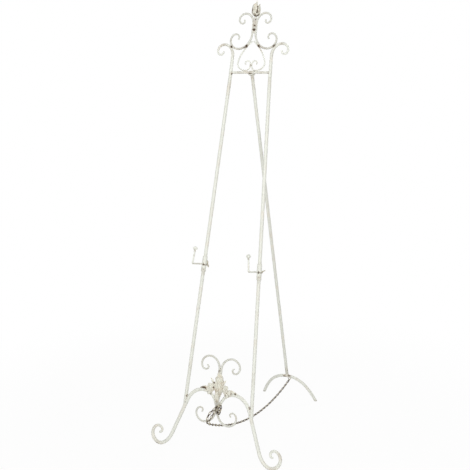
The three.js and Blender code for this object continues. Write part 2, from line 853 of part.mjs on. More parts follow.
function addStaple() {
  const radius = link.wire / 2;
  const half = eye.span / 2;
  const drop = eye.below - eye.bend;
  const path = walk({ x: -half, z: 0 }, -90, [
    { ahead: drop },
    { sweep: 90, radii: [eye.bend, eye.bend] },
    { ahead: eye.span - 2 * eye.bend },
    { sweep: 90, radii: [eye.bend, eye.bend] },
    { ahead: drop },
  ], 2 * bendStep);
  const staple = bentBar(thickened(path, () => radius), wireSides);
  staple.translate(eye.x, -eye.forward, -crownDrop);
  addPiece(rearFrame, 'chain_staple', cut(staple, archCutter()), paint);
}

// Points where a hanging chain's links meet, the whole chain as long as its links
function hangingPoints(from, to) {
  const length = chainLinks * link.pitch;
  const across = Math.hypot(to.x - from.x, to.y - from.y);
  const rise = to.z - from.z;
  let [low, high] = scaled(sagShares, across);
  for (let i = 0; i < halvings; i++) {
    const trial = (low + high) / 2;
    const reach = 2 * trial * Math.sinh(across / 2 / trial);
    if (reach > Math.sqrt(length ** 2 - rise ** 2)) {
      low = trial;
    } else {
      high = trial;
    }
  }
  const scale = (low + high) / 2;
  const lowest = across / 2 - scale * Math.atanh(rise / length);
  const height = (u) => scale * Math.cosh((u - lowest) / scale);
  const points = [];
  for (let i = 0; i <= chainLinks; i++) {
    const u = lowest + scale * Math.asinh(i * link.pitch / scale + Math.sinh(-lowest / scale));
    const point = from.clone().lerp(to, u / across);
    points.push(point.setZ(from.z + height(u) - height(0)));
  }
  return points;
}

// How far the middle of an end wire lies past the point where two links meet
const hookedReach = (link.wire + link.pivotGap) / 2;
const fusedReach = (link.wire - link.bite) / 2;

// One link: a ring drawn out to a length between the middles of its end wires
function ringLink(length) {
  const endRadius = (link.width - link.wire) / 2;
  const ring = welded(new THREE.TorusGeometry(endRadius, link.wire / 2, link.sides, link.bends));
  ring.rotateZ(Math.PI / link.bends);
  const place = ring.attributes.position;
  for (let i = 0; i < place.count; i++) {
    place.setX(i, place.getX(i) + Math.sign(place.getX(i)) * (length / 2 - endRadius));
  }
  return ring;
}

// Links from point to point, each turned a quarter from the one before
function linkedRun(points, firstNormal, firstReach, lastReach) {
  const normal = firstNormal.clone();
  const links = [];
  for (let i = 1; i < points.length; i++) {
    const ahead = points[i].clone().sub(points[i - 1]).normalize();
    normal.addScaledVector(ahead, -normal.dot(ahead)).normalize();
    const start = points[i - 1].clone().addScaledVector(ahead, i === 1 ? -firstReach : -fusedReach);
    const end = points[i].clone().addScaledVector(ahead, i === points.length - 1 ? lastReach : fusedReach);
    const turn = new THREE.Matrix4().makeBasis(ahead, normal.clone().cross(ahead), normal);
    turn.setPosition(start.clone().add(end).multiplyScalar(1 / 2));
    links.push(ringLink(start.distanceTo(end)).applyMatrix4(turn));
    normal.cross(ahead);
  }
  return joined(...links);
}

// Points along a curve, each a link's pitch from the one before
function pitchedPoints(curve) {
  const fine = curve.getSpacedPoints(link.pitch * curve.points.length);
  const points = [fine[0]];
  for (const point of fine) {
    if (point.distanceTo(points[points.length - 1]) >= link.pitch) {
      points.push(point);
    }
  }
  return points;
}

// Front end of the chain, wound round the base scrolls
function addWrap() {
  const start = standing(chainFront.x, chainFront.behind, chainFront.height);
  const route = [start, ...wrapRoute.map(([x, y, z]) => standing(x, y, z))];
  const points = pitchedPoints(new THREE.CatmullRomCurve3(route));
  const flatNormal = new THREE.Vector3(0, 0, 1);
  addPiece(easel, 'chain_wrap', linkedRun(points, flatNormal, hookedReach, fusedReach), agedSteel);
}

// Hanging chain from the wrap to the staple, its end links hooked with clearance
function addFreeChain() {
  const from = standing(chainFront.x, chainFront.behind, chainFront.height);
  const points = hangingPoints(from, staplePoint);
  const uprightNormal = new THREE.Vector3(1, 0, 0);
  addPiece(easel, 'chain_span', linkedRun(points, uprightNormal, hookedReach, 2 * hookedReach), agedSteel);
}

addLegs();
addUprights();
addBaseScrolls();
addStiles();
addCrossbar();
addCrestScrolls();
addHeart();
addFinial();
addCentreLeaf();
addSideLeaves();
addHolder('left', -1, leftHolder);
addHolder('right', 1, rightHolder);
addHinge();
addRearLeg();
addStaple();
addWrap();
addFreeChain();

// The origin lies on the floor in the middle of the easel's reach
const reach = new THREE.Box3().setFromObject(easel);
easel.position.y = -(reach.min.y + reach.max.y) / 2;

export default easel;
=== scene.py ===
import json
import math

import bmesh
import bpy
import numpy as np
from mathutils import Matrix, Vector, noise
from mathutils.geometry import interpolate_bezier


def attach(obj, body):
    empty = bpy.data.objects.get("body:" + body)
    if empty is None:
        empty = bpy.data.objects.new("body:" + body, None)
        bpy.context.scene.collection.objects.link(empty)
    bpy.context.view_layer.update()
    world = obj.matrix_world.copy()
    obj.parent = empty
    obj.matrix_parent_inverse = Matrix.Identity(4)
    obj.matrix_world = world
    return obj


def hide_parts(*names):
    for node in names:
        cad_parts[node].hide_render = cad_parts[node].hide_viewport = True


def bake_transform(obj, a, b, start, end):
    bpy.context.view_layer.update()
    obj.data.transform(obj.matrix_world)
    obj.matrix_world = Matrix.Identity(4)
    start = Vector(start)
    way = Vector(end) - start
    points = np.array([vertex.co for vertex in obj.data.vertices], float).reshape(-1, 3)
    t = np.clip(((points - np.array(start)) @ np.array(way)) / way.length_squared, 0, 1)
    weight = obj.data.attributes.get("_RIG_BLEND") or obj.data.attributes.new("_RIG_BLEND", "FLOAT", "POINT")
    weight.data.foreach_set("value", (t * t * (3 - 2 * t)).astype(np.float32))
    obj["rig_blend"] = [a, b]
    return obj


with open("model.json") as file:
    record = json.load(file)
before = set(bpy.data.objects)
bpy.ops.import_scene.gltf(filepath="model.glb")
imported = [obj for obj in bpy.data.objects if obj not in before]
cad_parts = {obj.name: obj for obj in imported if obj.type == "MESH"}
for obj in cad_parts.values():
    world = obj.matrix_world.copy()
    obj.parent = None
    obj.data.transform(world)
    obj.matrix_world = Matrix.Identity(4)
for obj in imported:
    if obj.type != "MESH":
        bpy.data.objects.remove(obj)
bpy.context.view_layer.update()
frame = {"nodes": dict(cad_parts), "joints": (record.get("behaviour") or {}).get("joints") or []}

scene = bpy.context.scene
print("frame loaded:", len(frame["nodes"]), "nodes")

# The easel is drawn flat in millimetres, x across, y to the back and z up,
# and each drawing is put in its place by one of the matrices below.
angles = {"frontTilt": 11.84, "rearSplay": 15.13, "uprightLean": 2.7}
joints = {joint["name"]: joint for joint in frame["joints"]}
hingePoint = Vector(joints["fold"]["pos_m"])
hingeInFront = Vector((0, 14.5, 1394))


def turn(degrees, axis):
    return Matrix.Rotation(math.radians(degrees), 4, axis)


def shift(x=0, y=0, z=0):
    return Matrix.Translation((x, y, z))


millimetres = Matrix.Scale(0.001, 4)
frontTurn = turn(-angles["frontTilt"], "X") @ millimetres
frontPlace = Matrix.Translation(hingePoint - frontTurn @ hingeInFront) @ frontTurn
rearPlace = Matrix.Translation(hingePoint) @ turn(angles["rearSplay"], "X") @ millimetres


# Node helpers
def paint(red, green, blue):
    # screen colour 0-255 to the linear colour that a socket wants
    values = [part / 255 for part in (red, green, blue)]
    return [v / 12.92 if v <= 0.04045 else ((v + 0.055) / 1.055) ** 2.4 for v in values] + [1]


def plug(tree, value, socket):
    # a number or colour is set, a socket is linked
    if isinstance(value, bpy.types.NodeSocket):
        tree.links.new(value, socket)
    else:
        socket.default_value = value


def sums(tree, operation, first, second):
    node = tree.nodes.new("ShaderNodeMath")
    node.operation = operation
    plug(tree, first, node.inputs[0])
    plug(tree, second, node.inputs[1])
    return node.outputs[0]


def ranged(tree, value, low, high, to=(0.0, 1.0)):
    node = tree.nodes.new("ShaderNodeMapRange")
    node.interpolation_type = "SMOOTHSTEP"
    plug(tree, value, node.inputs["Value"])
    node.inputs["From Min"].default_value = low
    node.inputs["From Max"].default_value = high
    node.inputs["To Min"].default_value = to[0]
    node.inputs["To Max"].default_value = to[1]
    return node.outputs["Result"]


def blended(tree, share, first, second):
    node = tree.nodes.new("ShaderNodeMix")
    node.data_type = "RGBA"
    plug(tree, share, node.inputs["Factor"])
    plug(tree, first, node.inputs[6])
    plug(tree, second, node.inputs[7])
    return node.outputs[2]


def addNoise(tree, vector, scale, detail, rough):
    node = tree.nodes.new("ShaderNodeTexNoise")
    node.inputs["Detail"].default_value = detail
    node.inputs["Roughness"].default_value = rough
    tree.links.new(vector, node.inputs["Vector"])
    plug(tree, scale, node.inputs["Scale"])
    return node.outputs["Fac"]


def newMaterial(name):
    material = bpy.data.materials.new(name)
    material.use_nodes = True
    tree = material.node_tree
    return material, tree, tree.nodes["Principled BSDF"]


# Camera and studio
studio = {
    "camera": (1.402, -2.794, 1.347),
    "azimuth": 28.07,
    "pitch": 10.64,
    "lens": 64.25,
    "sensor": 36,
    "worldLevel": 0.28,
    "lamps": [  # where from, size, watts
        ((1.7, -3.4, 2.0), 1.4, 98),
        ((-2.8, -2.0, 2.4), 1.8, 20),
        ((0.6, 3.2, 2.4), 2.0, 64),
        ((0.0, -0.4, 4.2), 2.2, 18),
    ],
    "lampsAimAt": (0, 0, 0.8),
    "floorSize": 40,
    "floorColour": paint(232, 232, 230),
    "floorRoughness": 0.9,
    "floorSpecular": 0.1,
    "floorGlow": 0.94,
    "shadowReach": (0.7, 1.7),
}


def addCamera():
    camera = bpy.data.objects.new("camera", bpy.data.cameras.new("camera"))
    scene.collection.objects.link(camera)
    camera.data.lens = studio["lens"]
    camera.data.sensor_width = studio["sensor"]
    camera.location = studio["camera"]
    camera.rotation_euler = (
        math.radians(90 - studio["pitch"]), 0, math.radians(studio["azimuth"]))
    scene.camera = camera


def addLamps():
    for place, size, watts in studio["lamps"]:
        lamp = bpy.data.lights.new("softbox", "AREA")
        lamp.size = size
        lamp.energy = watts
        box = bpy.data.objects.new("softbox", lamp)
        box.location = place
        toObject = Vector(studio["lampsAimAt"]) - Vector(place)
        box.rotation_euler = toObject.to_track_quat("-Z", "Y").to_euler()
        scene.collection.objects.link(box)


def seenDirectly(tree):
    # 1 for camera, mirror and see-through rays, 0 for the rays that light the object
    path = tree.nodes.new("ShaderNodeLightPath")
    either = sums(tree, "MAXIMUM", path.outputs["Is Camera Ray"], path.outputs["Is Glossy Ray"])
    return sums(tree, "MAXIMUM", either, path.outputs["Is Transmission Ray"])


def addWorld():
    world = bpy.data.worlds.new("studio")
    scene.world = world
    world.use_nodes = True
    tree = world.node_tree
    background = tree.nodes["Background"]
    background.inputs["Color"].default_value = (1, 1, 1, 1)
    level = ranged(tree, seenDirectly(tree), 0, 1, (studio["worldLevel"], 1))
    tree.links.new(level, background.inputs["Strength"])


def addFloor():
    bm = bmesh.new()
    bmesh.ops.create_grid(bm, x_segments=1, y_segments=1, size=studio["floorSize"])
    mesh = bpy.data.meshes.new("floor")
    bm.to_mesh(mesh)
    bm.free()
    floor = bpy.data.objects.new("floor", mesh)
    scene.collection.objects.link(floor)
    material, tree, paper = newMaterial("floorPaper")
    paper.inputs["Base Color"].default_value = studio["floorColour"]
    paper.inputs["Roughness"].default_value = studio["floorRoughness"]
    paper.inputs["Specular IOR Level"].default_value = studio["floorSpecular"]
    glow = tree.nodes.new("ShaderNodeEmission")
    glow.inputs["Color"].default_value = (1, 1, 1, 1)
    # plain white far away, and paper that takes the shadow under the easel
    away = tree.nodes.new("ShaderNodeVectorMath")
    away.operation = "LENGTH"
    tree.links.new(tree.nodes.new("ShaderNodeTexCoord").outputs["Object"], away.inputs[0])
    near, far = studio["shadowReach"]
    whiteness = ranged(tree, away.outputs["Value"], near, far, (studio["floorGlow"], 1))
    mixed = tree.nodes.new("ShaderNodeMixShader")
    tree.links.new(sums(tree, "MULTIPLY", seenDirectly(tree), whiteness), mixed.inputs["Fac"])
    tree.links.new(paper.outputs[0], mixed.inputs[1])
    tree.links.new(glow.outputs[0], mixed.inputs[2])
    tree.links.new(mixed.outputs[0], tree.nodes["Material Output"].inputs["Surface"])
    mesh.materials.append(material)


scene.view_settings.view_transform = "Standard"
addCamera()
addLamps()
addWorld()
addFloor()
print("studio ready")


# Materials
def newGroup(name, inputs, outputs):
    group = bpy.data.node_groups.new(name, "ShaderNodeTree")
    for label, kind, value in inputs:
        socket = group.interface.new_socket(label, in_out="INPUT", socket_type=kind)
        if value is not None:
            socket.default_value = value
    for label, kind in outputs:
        group.interface.new_socket(label, in_out="OUTPUT", socket_type=kind)
    return group, group.nodes.new("NodeGroupInput"), group.nodes.new("NodeGroupOutput")


def makeMottle():
    # uneven hand-brushed paint: warm patches, grey smudges and a brushed height
    group, given, result = newGroup(
        "paintMottle",
        [("Vector", "NodeSocketVector", None), ("Patch Scale", "NodeSocketFloat", 30.0)],
        [("Warm", "NodeSocketFloat"), ("Smudge", "NodeSocketFloat"), ("Height", "NodeSocketFloat")],
    )
    vector, scale = given.outputs["Vector"], given.outputs["Patch Scale"]
    patches = addNoise(group, vector, scale, detail=3, rough=0.6)
    group.links.new(ranged(group, patches, low=0.5, high=0.68), result.inputs["Warm"])
    finer = addNoise(group, vector, sums(group, "MULTIPLY", scale, 4.3), detail=6, rough=0.65)
    group.links.new(ranged(group, finer, low=0.5, high=0.74), result.inputs["Smudge"])
    brush = addNoise(group, vector, sums(group, "MULTIPLY", scale, 14.0), detail=5, rough=0.6)
    height = sums(group, "ADD", sums(group, "MULTIPLY", brush, 0.6),
                  sums(group, "MULTIPLY", finer, 0.8))
    group.links.new(height, result.inputs["Height"])
    return group


def makeRust():
    # brown bloom where the amount is high, broken up by the noise
    group, given, result = newGroup(
        "rustBloom",
        [("Vector", "NodeSocketVector", None), ("Amount", "NodeSocketFloat", 0.0),
         ("Scale", "NodeSocketFloat", 260.0), ("Dark", "NodeSocketColor", paint(38, 27, 18)),
         ("Light", "NodeSocketColor", paint(139, 104, 74))],
        [("Mask", "NodeSocketFloat"), ("Stain", "NodeSocketFloat"), ("Color", "NodeSocketColor"),
         ("Height", "NodeSocketFloat")],
    )
    vector, amount, scale = given.outputs["Vector"], given.outputs["Amount"], given.outputs["Scale"]
    bloom = addNoise(group, vector, scale, detail=7, rough=0.68)
    pushed = sums(group, "ADD", bloom, sums(group, "MULTIPLY", amount, 0.95))
    group.links.new(ranged(group, pushed, low=0.9, high=1.12), result.inputs["Mask"])
    wide = addNoise(group, vector, sums(group, "MULTIPLY", scale, 0.35), detail=4, rough=0.6)
    wash = sums(group, "ADD", sums(group, "MULTIPLY", wide, 0.7),
                sums(group, "MULTIPLY", amount, 1.1))
    group.links.new(ranged(group, wash, low=0.45, high=1.25), result.inputs["Stain"])
    crumb = addNoise(group, vector, sums(group, "MULTIPLY", scale, 2.6), detail=5, rough=0.7)
    colour = blended(group, ranged(group, crumb, low=0.46, high=0.7),
                     given.outputs["Dark"], given.outputs["Light"])
    group.links.new(colour, result.inputs["Color"])
    group.links.new(crumb, result.inputs["Height"])
    return group


groups = {"mottle": makeMottle(), "rust": makeRust()}


def placeGroup(tree, name, **values):
    node = tree.nodes.new("ShaderNodeGroup")
    node.node_tree = groups[name]
    for label, value in values.items():
        plug(tree, value, node.inputs[label.replace("_", " ")])
    return node


def readAttribute(tree, name):
    node = tree.nodes.new("ShaderNodeAttribute")
    node.attribute_name = name
    return node.outputs["Fac"]


def addBump(tree, shader, relief, strength, height):
    bump = tree.nodes.new("ShaderNodeBump")
    bump.inputs["Strength"].default_value = strength
    bump.inputs["Distance"].default_value = height
    tree.links.new(relief, bump.inputs["Height"])
    tree.links.new(bump.outputs["Normal"], shader.inputs["Normal"])


def makePaintMaterial(name, look):
    material, tree, shader = newMaterial(name)
    vector = tree.nodes.new("ShaderNodeTexCoord").outputs["Object"]
    mottle = placeGroup(tree, "mottle", Vector=vector, Patch_Scale=look["patchScale"])
    amount = sums(tree, "ADD", readAttribute(tree, "rust"), look["rustEverywhere"])
    rust = placeGroup(tree, "rust", Vector=vector, Amount=amount, Scale=look["rustScale"])
    colour = look["colour"]
    for mask, part in ((mottle.outputs["Warm"], "warm"), (mottle.outputs["Smudge"], "smudge"),
                       (rust.outputs["Stain"], "stain")):
        share = sums(tree, "MULTIPLY", mask, look[part + "Share"])
        colour = blended(tree, share, colour, look[part])
    colour = blended(tree, rust.outputs["Mask"], colour, rust.outputs["Color"])
    tree.links.new(colour, shader.inputs["Base Color"])
    rough = ranged(tree, mottle.outputs["Height"], 0.4, 0.95, look["roughness"])
    bareRough = sums(tree, "MULTIPLY", rust.outputs["Mask"], look["bareRoughness"])
    tree.links.new(sums(tree, "MAXIMUM", rough, bareRough), shader.inputs["Roughness"])
    # paint has thickness, so the bare spots lie lower
    lower = sums(tree, "MULTIPLY", rust.outputs["Mask"], look["paintDepth"])
    relief = sums(tree, "SUBTRACT", mottle.outputs["Height"], lower)
    crumbs = sums(tree, "MULTIPLY", rust.outputs["Height"], look["rustHeight"])
    relief = sums(tree, "ADD", relief, crumbs)
    addBump(tree, shader, relief, look["bumpStrength"], look["bumpHeight"])
    shader.inputs["Specular IOR Level"].default_value = look["specular"]
    return material


def makeSteelMaterial(name, look):
    material, tree, shader = newMaterial(name)
    vector = tree.nodes.new("ShaderNodeTexCoord").outputs["Object"]
    rust = placeGroup(tree, "rust", Vector=vector, Amount=readAttribute(tree, "rust"),
                      Scale=look["grainScale"], Dark=look["dark"], Light=look["light"])
    patches = addNoise(tree, vector, look["paintScale"], detail=5, rough=0.6)
    worn = sums(tree, "MULTIPLY", readAttribute(tree, "rust"), look["paintWear"])
    painted = ranged(tree, sums(tree, "SUBTRACT", patches, worn),
                     look["paintFrom"], look["paintFrom"] + look["paintFade"])
    tree.links.new(blended(tree, painted, rust.outputs["Color"], look["paint"]),
                   shader.inputs["Base Color"])
    tree.links.new(ranged(tree, rust.outputs["Height"], 0.3, 0.75, look["roughness"]),
                   shader.inputs["Roughness"])
    tree.links.new(ranged(tree, painted, 0, 1, (look["metallic"], 0)), shader.inputs["Metallic"])
    relief = sums(tree, "ADD", rust.outputs["Height"],
                  sums(tree, "MULTIPLY", painted, look["paintDepth"]))
    addBump(tree, shader, relief, look["bumpStrength"], look["bumpHeight"])
    return material


bareSpots = {"bareRoughness": 0.85, "paintDepth": 0.9, "rustHeight": 0.35}
ivoryPaint = makePaintMaterial("ivoryPaint", {
    "colour": paint(222, 223, 214),
    "warm": paint(221, 214, 202),
    "smudge": paint(198, 199, 187),
    "stain": paint(156, 134, 108),
    "patchScale": 26.0,
    "rustScale": 330.0,
    "rustEverywhere": 0.05,
    "warmShare": 0.6,
    "smudgeShare": 0.4,
    "stainShare": 0.75,
    "roughness": (0.42, 0.62),
    "specular": 0.45,
    "bumpStrength": 0.35,
    "bumpHeight": 0.0005,
    **bareSpots,
})
ivoryScrollPaintedShade = makePaintMaterial("ivoryScrollPaintedShade", {  # the thin scrolled bars, greyer: painted shade for the darker edges of thin bars
    "colour": paint(209, 209, 200),
    "warm": paint(206, 198, 184),
    "smudge": paint(180, 180, 168),
    "stain": paint(140, 118, 92),
    "patchScale": 34.0,
    "rustScale": 380.0,
    "rustEverywhere": 0.06,
    "warmShare": 0.55,
    "smudgeShare": 0.5,
    "stainShare": 0.8,
    "roughness": (0.44, 0.66),
    "specular": 0.42,
    "bumpStrength": 0.35,
    "bumpHeight": 0.0005,
    **bareSpots,
})
ivoryCasting = makePaintMaterial("ivoryCasting", {
    "colour": paint(222, 221, 209),
    "warm": paint(214, 203, 185),
    "smudge": paint(190, 190, 174),
    "stain": paint(152, 130, 102),
    "patchScale": 60.0,
    "rustScale": 420.0,
    "rustEverywhere": 0.1,
    "warmShare": 0.7,
    "smudgeShare": 0.55,
    "stainShare": 0.9,
    "roughness": (0.5, 0.74),
    "specular": 0.35,
    "bumpStrength": 0.5,
    "bumpHeight": 0.0007,
    **bareSpots,
})
agedSteel = makeSteelMaterial("agedSteel", {
    "dark": paint(50, 39, 29),
    "light": paint(122, 99, 75),
    "paint": paint(200, 192, 170),
    "grainScale": 500.0,
    "paintScale": 260.0,
    "paintFrom": 0.36,
    "paintFade": 0.06,
    "paintWear": 0.3,
    "paintDepth": 0.5,
    "metallic": 0.45,
    "roughness": (0.45, 0.75),
    "bumpStrength": 0.5,
    "bumpHeight": 0.0004,
})
finishes = {
    "scroll": ivoryScrollPaintedShade,
    "ivory_paint": ivoryPaint,
    "ivory_casting": ivoryCasting,
    "aged_steel": agedSteel,
}
print("materials ready")


# Modelling helpers
def along(values, share):
    place = share * (len(values) - 1)
    first = min(int(place), len(values) - 2)
    return values[first] + (values[first + 1] - values[first]) * (place - first)


def walkBar(start, heading, moves, bendStep=4.0, straightStep=6):
    # centre line in the x-z plane, walked with straight runs and bends
    x, z = start
    heading = math.radians(heading)
    stations = [(x, z, heading)]
    for move in moves:
        if "ahead" in move:
            steps = max(1, round(move["ahead"] / straightStep))
            bend = 0
        else:
            steps = math.ceil(abs(move["sweep"]) / bendStep)
            bend = math.radians(move["sweep"]) / steps
        for i in range(steps):
            if bend:
                chord = 2 * along(move["radii"], (i + 0.5) / steps) * math.sin(abs(bend) / 2)
            else:
                chord = move["ahead"] / steps
            x += chord * math.cos(heading + bend / 2)
            z += chord * math.sin(heading + bend / 2)
            heading += bend
            stations.append((x, z, heading))
    return stations


def reversedWalk(stations):
    return [(x, z, heading + math.pi) for x, z, heading in reversed(stations)]


def bothWays(first, second):
    return reversedWalk(first) + second[1:]


def shares(stations):
    # share of the whole length at each station
    lengths = [0]
    for (x, z, _), (nextX, nextZ, _) in zip(stations, stations[1:]):
        lengths.append(lengths[-1] + math.hypot(nextX - x, nextZ - z))
    return [length / lengths[-1] for length in lengths]


def ringAt(x, y, z, heading, radius):
    # puts a unit circle square to a bar of the x-z plane
    return shift(x, y, z) @ Matrix.Rotation(math.pi / 2 - heading, 4, "Y") @ Matrix.Scale(radius, 4)


barEnd = {"angles": (35, 62, 84), "flatness": 0.5}
barUnevenness = {"height": 0.012, "scale": 0.06}


def even(radius):
    return lambda share: radius


def barRings(stations, radiusAt, depth=0.0, roundEnds=(True, True)):
    rings = []
    for (x, z, heading), share in zip(stations, shares(stations)):
        radius = radiusAt(share)
        lumps = noise.noise(Vector((x, depth + 3.1 * radius, z)) * barUnevenness["scale"])
        rings.append(ringAt(x, depth, z, heading, radius * (1 + barUnevenness["height"] * lumps)))
    flat = barEnd["flatness"]
    for end, (x, z, heading) in ((0, stations[0]), (-1, stations[-1])):
        if not roundEnds[end]:
            continue
        outward = heading + math.pi if end == 0 else heading
        radius = radiusAt(0 if end == 0 else 1)
        for angle in barEnd["angles"]:
            ahead = flat * radius * math.sin(math.radians(angle))
            narrow = radius * (1 - flat + flat * math.cos(math.radians(angle)))
            ring = ringAt(x + ahead * math.cos(outward), depth, z + ahead * math.sin(outward),
                          heading, narrow)
            rings.insert(0 if end == 0 else len(rings), ring)
    return rings


def vertsIn(geometry):
    return [item for item in geometry if isinstance(item, bmesh.types.BMVert)]


def edgesIn(geometry):
    return [item for item in geometry if isinstance(item, bmesh.types.BMEdge)]


def edgesOf(verts):
    return list({edge for vert in verts for edge in vert.link_edges})


def facesOf(verts):
    return list({face for vert in verts for face in vert.link_faces})


def everything(bm):
    return list(bm.verts) + list(bm.edges) + list(bm.faces)


def roundEdges(bm, edges, offset, segments=2, clamp=False):
    bmesh.ops.bevel(bm, geom=edges, offset=offset, offset_type="OFFSET", segments=segments,
                    profile=0.5, affect="EDGES", material=-1, clamp_overlap=clamp)


def sweepRings(bm, rings, sides):
    # a circle pulled from ring to ring, its ends closed
    circle = bmesh.ops.create_circle(bm, segments=sides, radius=1, matrix=rings[0])["verts"]
    edges = edgesOf(circle)
    made = list(circle)
    startEdges = edges
    for last, this in zip(rings, rings[1:]):
        grown = bmesh.ops.extrude_edge_only(bm, edges=edges)["geom"]
        verts = vertsIn(grown)
        edges = [edge for edge in edgesIn(grown) if edge.is_boundary]
        bmesh.ops.transform(bm, matrix=this @ last.inverted(), verts=verts)
        made += verts
    for loop in (startEdges, edges):
        bmesh.ops.holes_fill(bm, edges=[edge for edge in loop if edge.is_boundary])
    return made


def lathe(bm, outline, steps, place=Matrix()):
    # outline of (radius, height) pairs turned about z
    verts = [bm.verts.new((radius, 0, height)) for radius, height in outline]
    edges = [bm.edges.new(pair) for pair in zip(verts, verts[1:])]
    before = set(bm.verts) - set(verts)
    bmesh.ops.spin(bm, geom=verts + edges, cent=(0, 0, 0), axis=(0, 0, 1), dvec=(0, 0, 0),
                   angle=math.tau, steps=steps, use_merge=True)
    made = [vert for vert in bm.verts if vert not in before]
    bmesh.ops.remove_doubles(bm, verts=made, dist=0.001)
    made = [vert for vert in bm.verts if vert not in before]
    bmesh.ops.transform(bm, matrix=place, verts=made)
    return made


soleHeight = 0.0001  # in metres above the floor, so that soles and floor don't share a plane


def standFlat(bm, roundness):
    # feet cut level with the floor, once a piece is in metres
    cut = bmesh.ops.bisect_plane(bm, geom=everything(bm), plane_co=(0, 0, soleHeight),
                                 plane_no=(0, 0, 1), clear_inner=True)["geom_cut"]
    rims = edgesIn(cut)
    bmesh.ops.holes_fill(bm, edges=rims)
    roundEdges(bm, [edge for edge in rims if edge.is_valid], roundness, segments=3)


def newDrawing():
    bm = bmesh.new()
    bm.verts.layers.float.new("rust")
    return bm


def finishPiece(name, bm, nodes, spots=(), place=frontPlace, body="front_frame", slot="ivory_paint",
                finish=None, sharpAngle=50):
    bmesh.ops.recalc_face_normals(bm, faces=bm.faces)
    bmesh.ops.transform(bm, matrix=place, verts=bm.verts)
    if place.determinant() < 0:
        bmesh.ops.reverse_faces(bm, faces=bm.faces)
    mesh = bpy.data.meshes.new(name)
    bm.to_mesh(mesh)
    bm.free()
    mesh.shade_smooth()
    mesh.set_sharp_from_angle(angle=math.radians(sharpAngle))
    mesh.materials.append(finishes[finish or slot])
    stain(mesh, spots)
    piece = bpy.data.objects.new(name, mesh)
    scene.collection.objects.link(piece)
    if isinstance(body, str):
        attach(piece, body)
    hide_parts(*nodes)
    return piece


def makeBar(name, rings, facets, *finishing, **more):
    bm = newDrawing()
    sweepRings(bm, rings, facets)
    finishPiece(name, bm, *finishing, **more)


def makeTurned(name, outline, facets, *finishing, **more):
    bm = newDrawing()
    lathe(bm, outline, facets)
    finishPiece(name, bm, *finishing, **more)


def stain(mesh, spots):
    # raises the rust value of the points near each spot: (place in metres, reach, strength)
    points = np.empty(len(mesh.vertices) * 3, np.float32)
    mesh.vertices.foreach_get("co", points)
    points = points.reshape(-1, 3)
    attribute = mesh.attributes["rust"]
    rust = np.empty(len(points), np.float32)
    attribute.data.foreach_get("value", rust)
    for place, reach, strength in spots:
        near = 1 - np.linalg.norm(points - np.array(place, np.float32), axis=1) / reach
        rust = np.maximum(rust, strength * np.clip(near, 0, 1))
    attribute.data.foreach_set("value", rust)


def spotsAt(place, spots):
    # rust spots of a drawing, each x, y, z, reach and strength, as stain takes them
    return [(place @ Vector(spot[:3]), spot[3] / 1000, spot[4]) for spot in spots]


def bothSides(spots):
    return [(side * x, *rest) for x, *rest in spots for side in (-1, 1)]


sides = (("left", -1), ("right", 1))


def mirrored(side):
    return Matrix.Diagonal((side, 1, 1, 1))


def meeting(first, second):
    # point between two flat bars where they come nearest
    pairs = [(math.hypot(a[0] - b[0], a[1] - b[1]), a, b) for a in first for b in second]
    _, a, b = min(pairs, key=lambda pair: pair[0])
    return ((a[0] + b[0]) / 2, (a[1] + b[1]) / 2)


leafSpots = [  # dark spots along the leaves, as each one stands
    (-73, -5, 242, 5, 0.95), (-68, -6, 243, 6, 1.0), (-63, -8, 243, 7, 1.0),
    (-57, -10, 244, 7, 1.0), (-52, -11, 243, 6, 0.95), (-47, -10, 239, 6, 0.95),
    (-40, -8, 229, 6, 0.6), (-29, -8, 228, 6, 0.5), (-17.6, -12, 268, 6, 1.0),
    (-19.9, -11, 251, 7, 0.75), (-13.5, -10, 288, 6, 0.75), (22, -10, 268, 7, 0.85),
    (36, -11, 252, 8, 0.9),
    (31, -9, 258, 6, 0.6), (54, -10, 238, 6, 0.85), (52, -9, 246, 6, 0.5), (68, -6, 240, 7, 1.0),
    (32, -10, 229, 6, 0.7), (27, -7, 215, 6, 0.6), (-3.7, -10, 310, 6, 0.9), (3, -10, 318, 8, 0.4),
    (-1, -9, 332, 8, 0.5),
]

# Legs
leg = {
    "diameter": 13,
    "innerDiameter": 9.5,
    "tipDiameter": 8,
    "foot": (228.2, 6.13),
    "curl": [{"sweep": 372, "radii": (36.7, 33.3, 17.8, 10.5, 7)}],
    "arch": [
        {"sweep": -68.9, "radii": (14, 103)},
        {"ahead": 143.4},
        {"sweep": 146.9, "radii": (85.5, 53.9, 59.8)},
    ],
    "bodyShares": (0.2, 0.8),
    "facets": 22,
    "soleRounding": 0.0003,
    "rust": [(128, -2, 201, 9, 0.9), (14, -6, 190, 16, 0.4), (40, -6, 222, 14, 0.5),
             (100, 0, 232, 16, 0.4), (241, 0, 4, 34, 0.42), (262, 0, 60, 24, 0.4)],
}
legWalk = bothWays(walkBar(leg["foot"], 0, leg["curl"]), walkBar(leg["foot"], 180, leg["arch"]))


def legRadius(share):
    start, end = leg["bodyShares"]
    if share < start:
        return along((leg["tipDiameter"], leg["diameter"]), share / start) / 2
    if share > end:
        return along((leg["diameter"], leg["innerDiameter"]), (share - end) / (1 - end)) / 2
    return leg["diameter"] / 2


def makeLegs():
    spots = spotsAt(frontPlace, bothSides(leg["rust"]) + leafSpots)
    for name, side in sides:
        bm = newDrawing()
        sweepRings(bm, barRings(legWalk, legRadius), leg["facets"])
        bmesh.ops.transform(bm, matrix=frontPlace @ mirrored(side), verts=bm.verts)
        standFlat(bm, leg["soleRounding"])
        finishPiece(name + "LegBar", bm, [name + "_leg"], spots, Matrix())


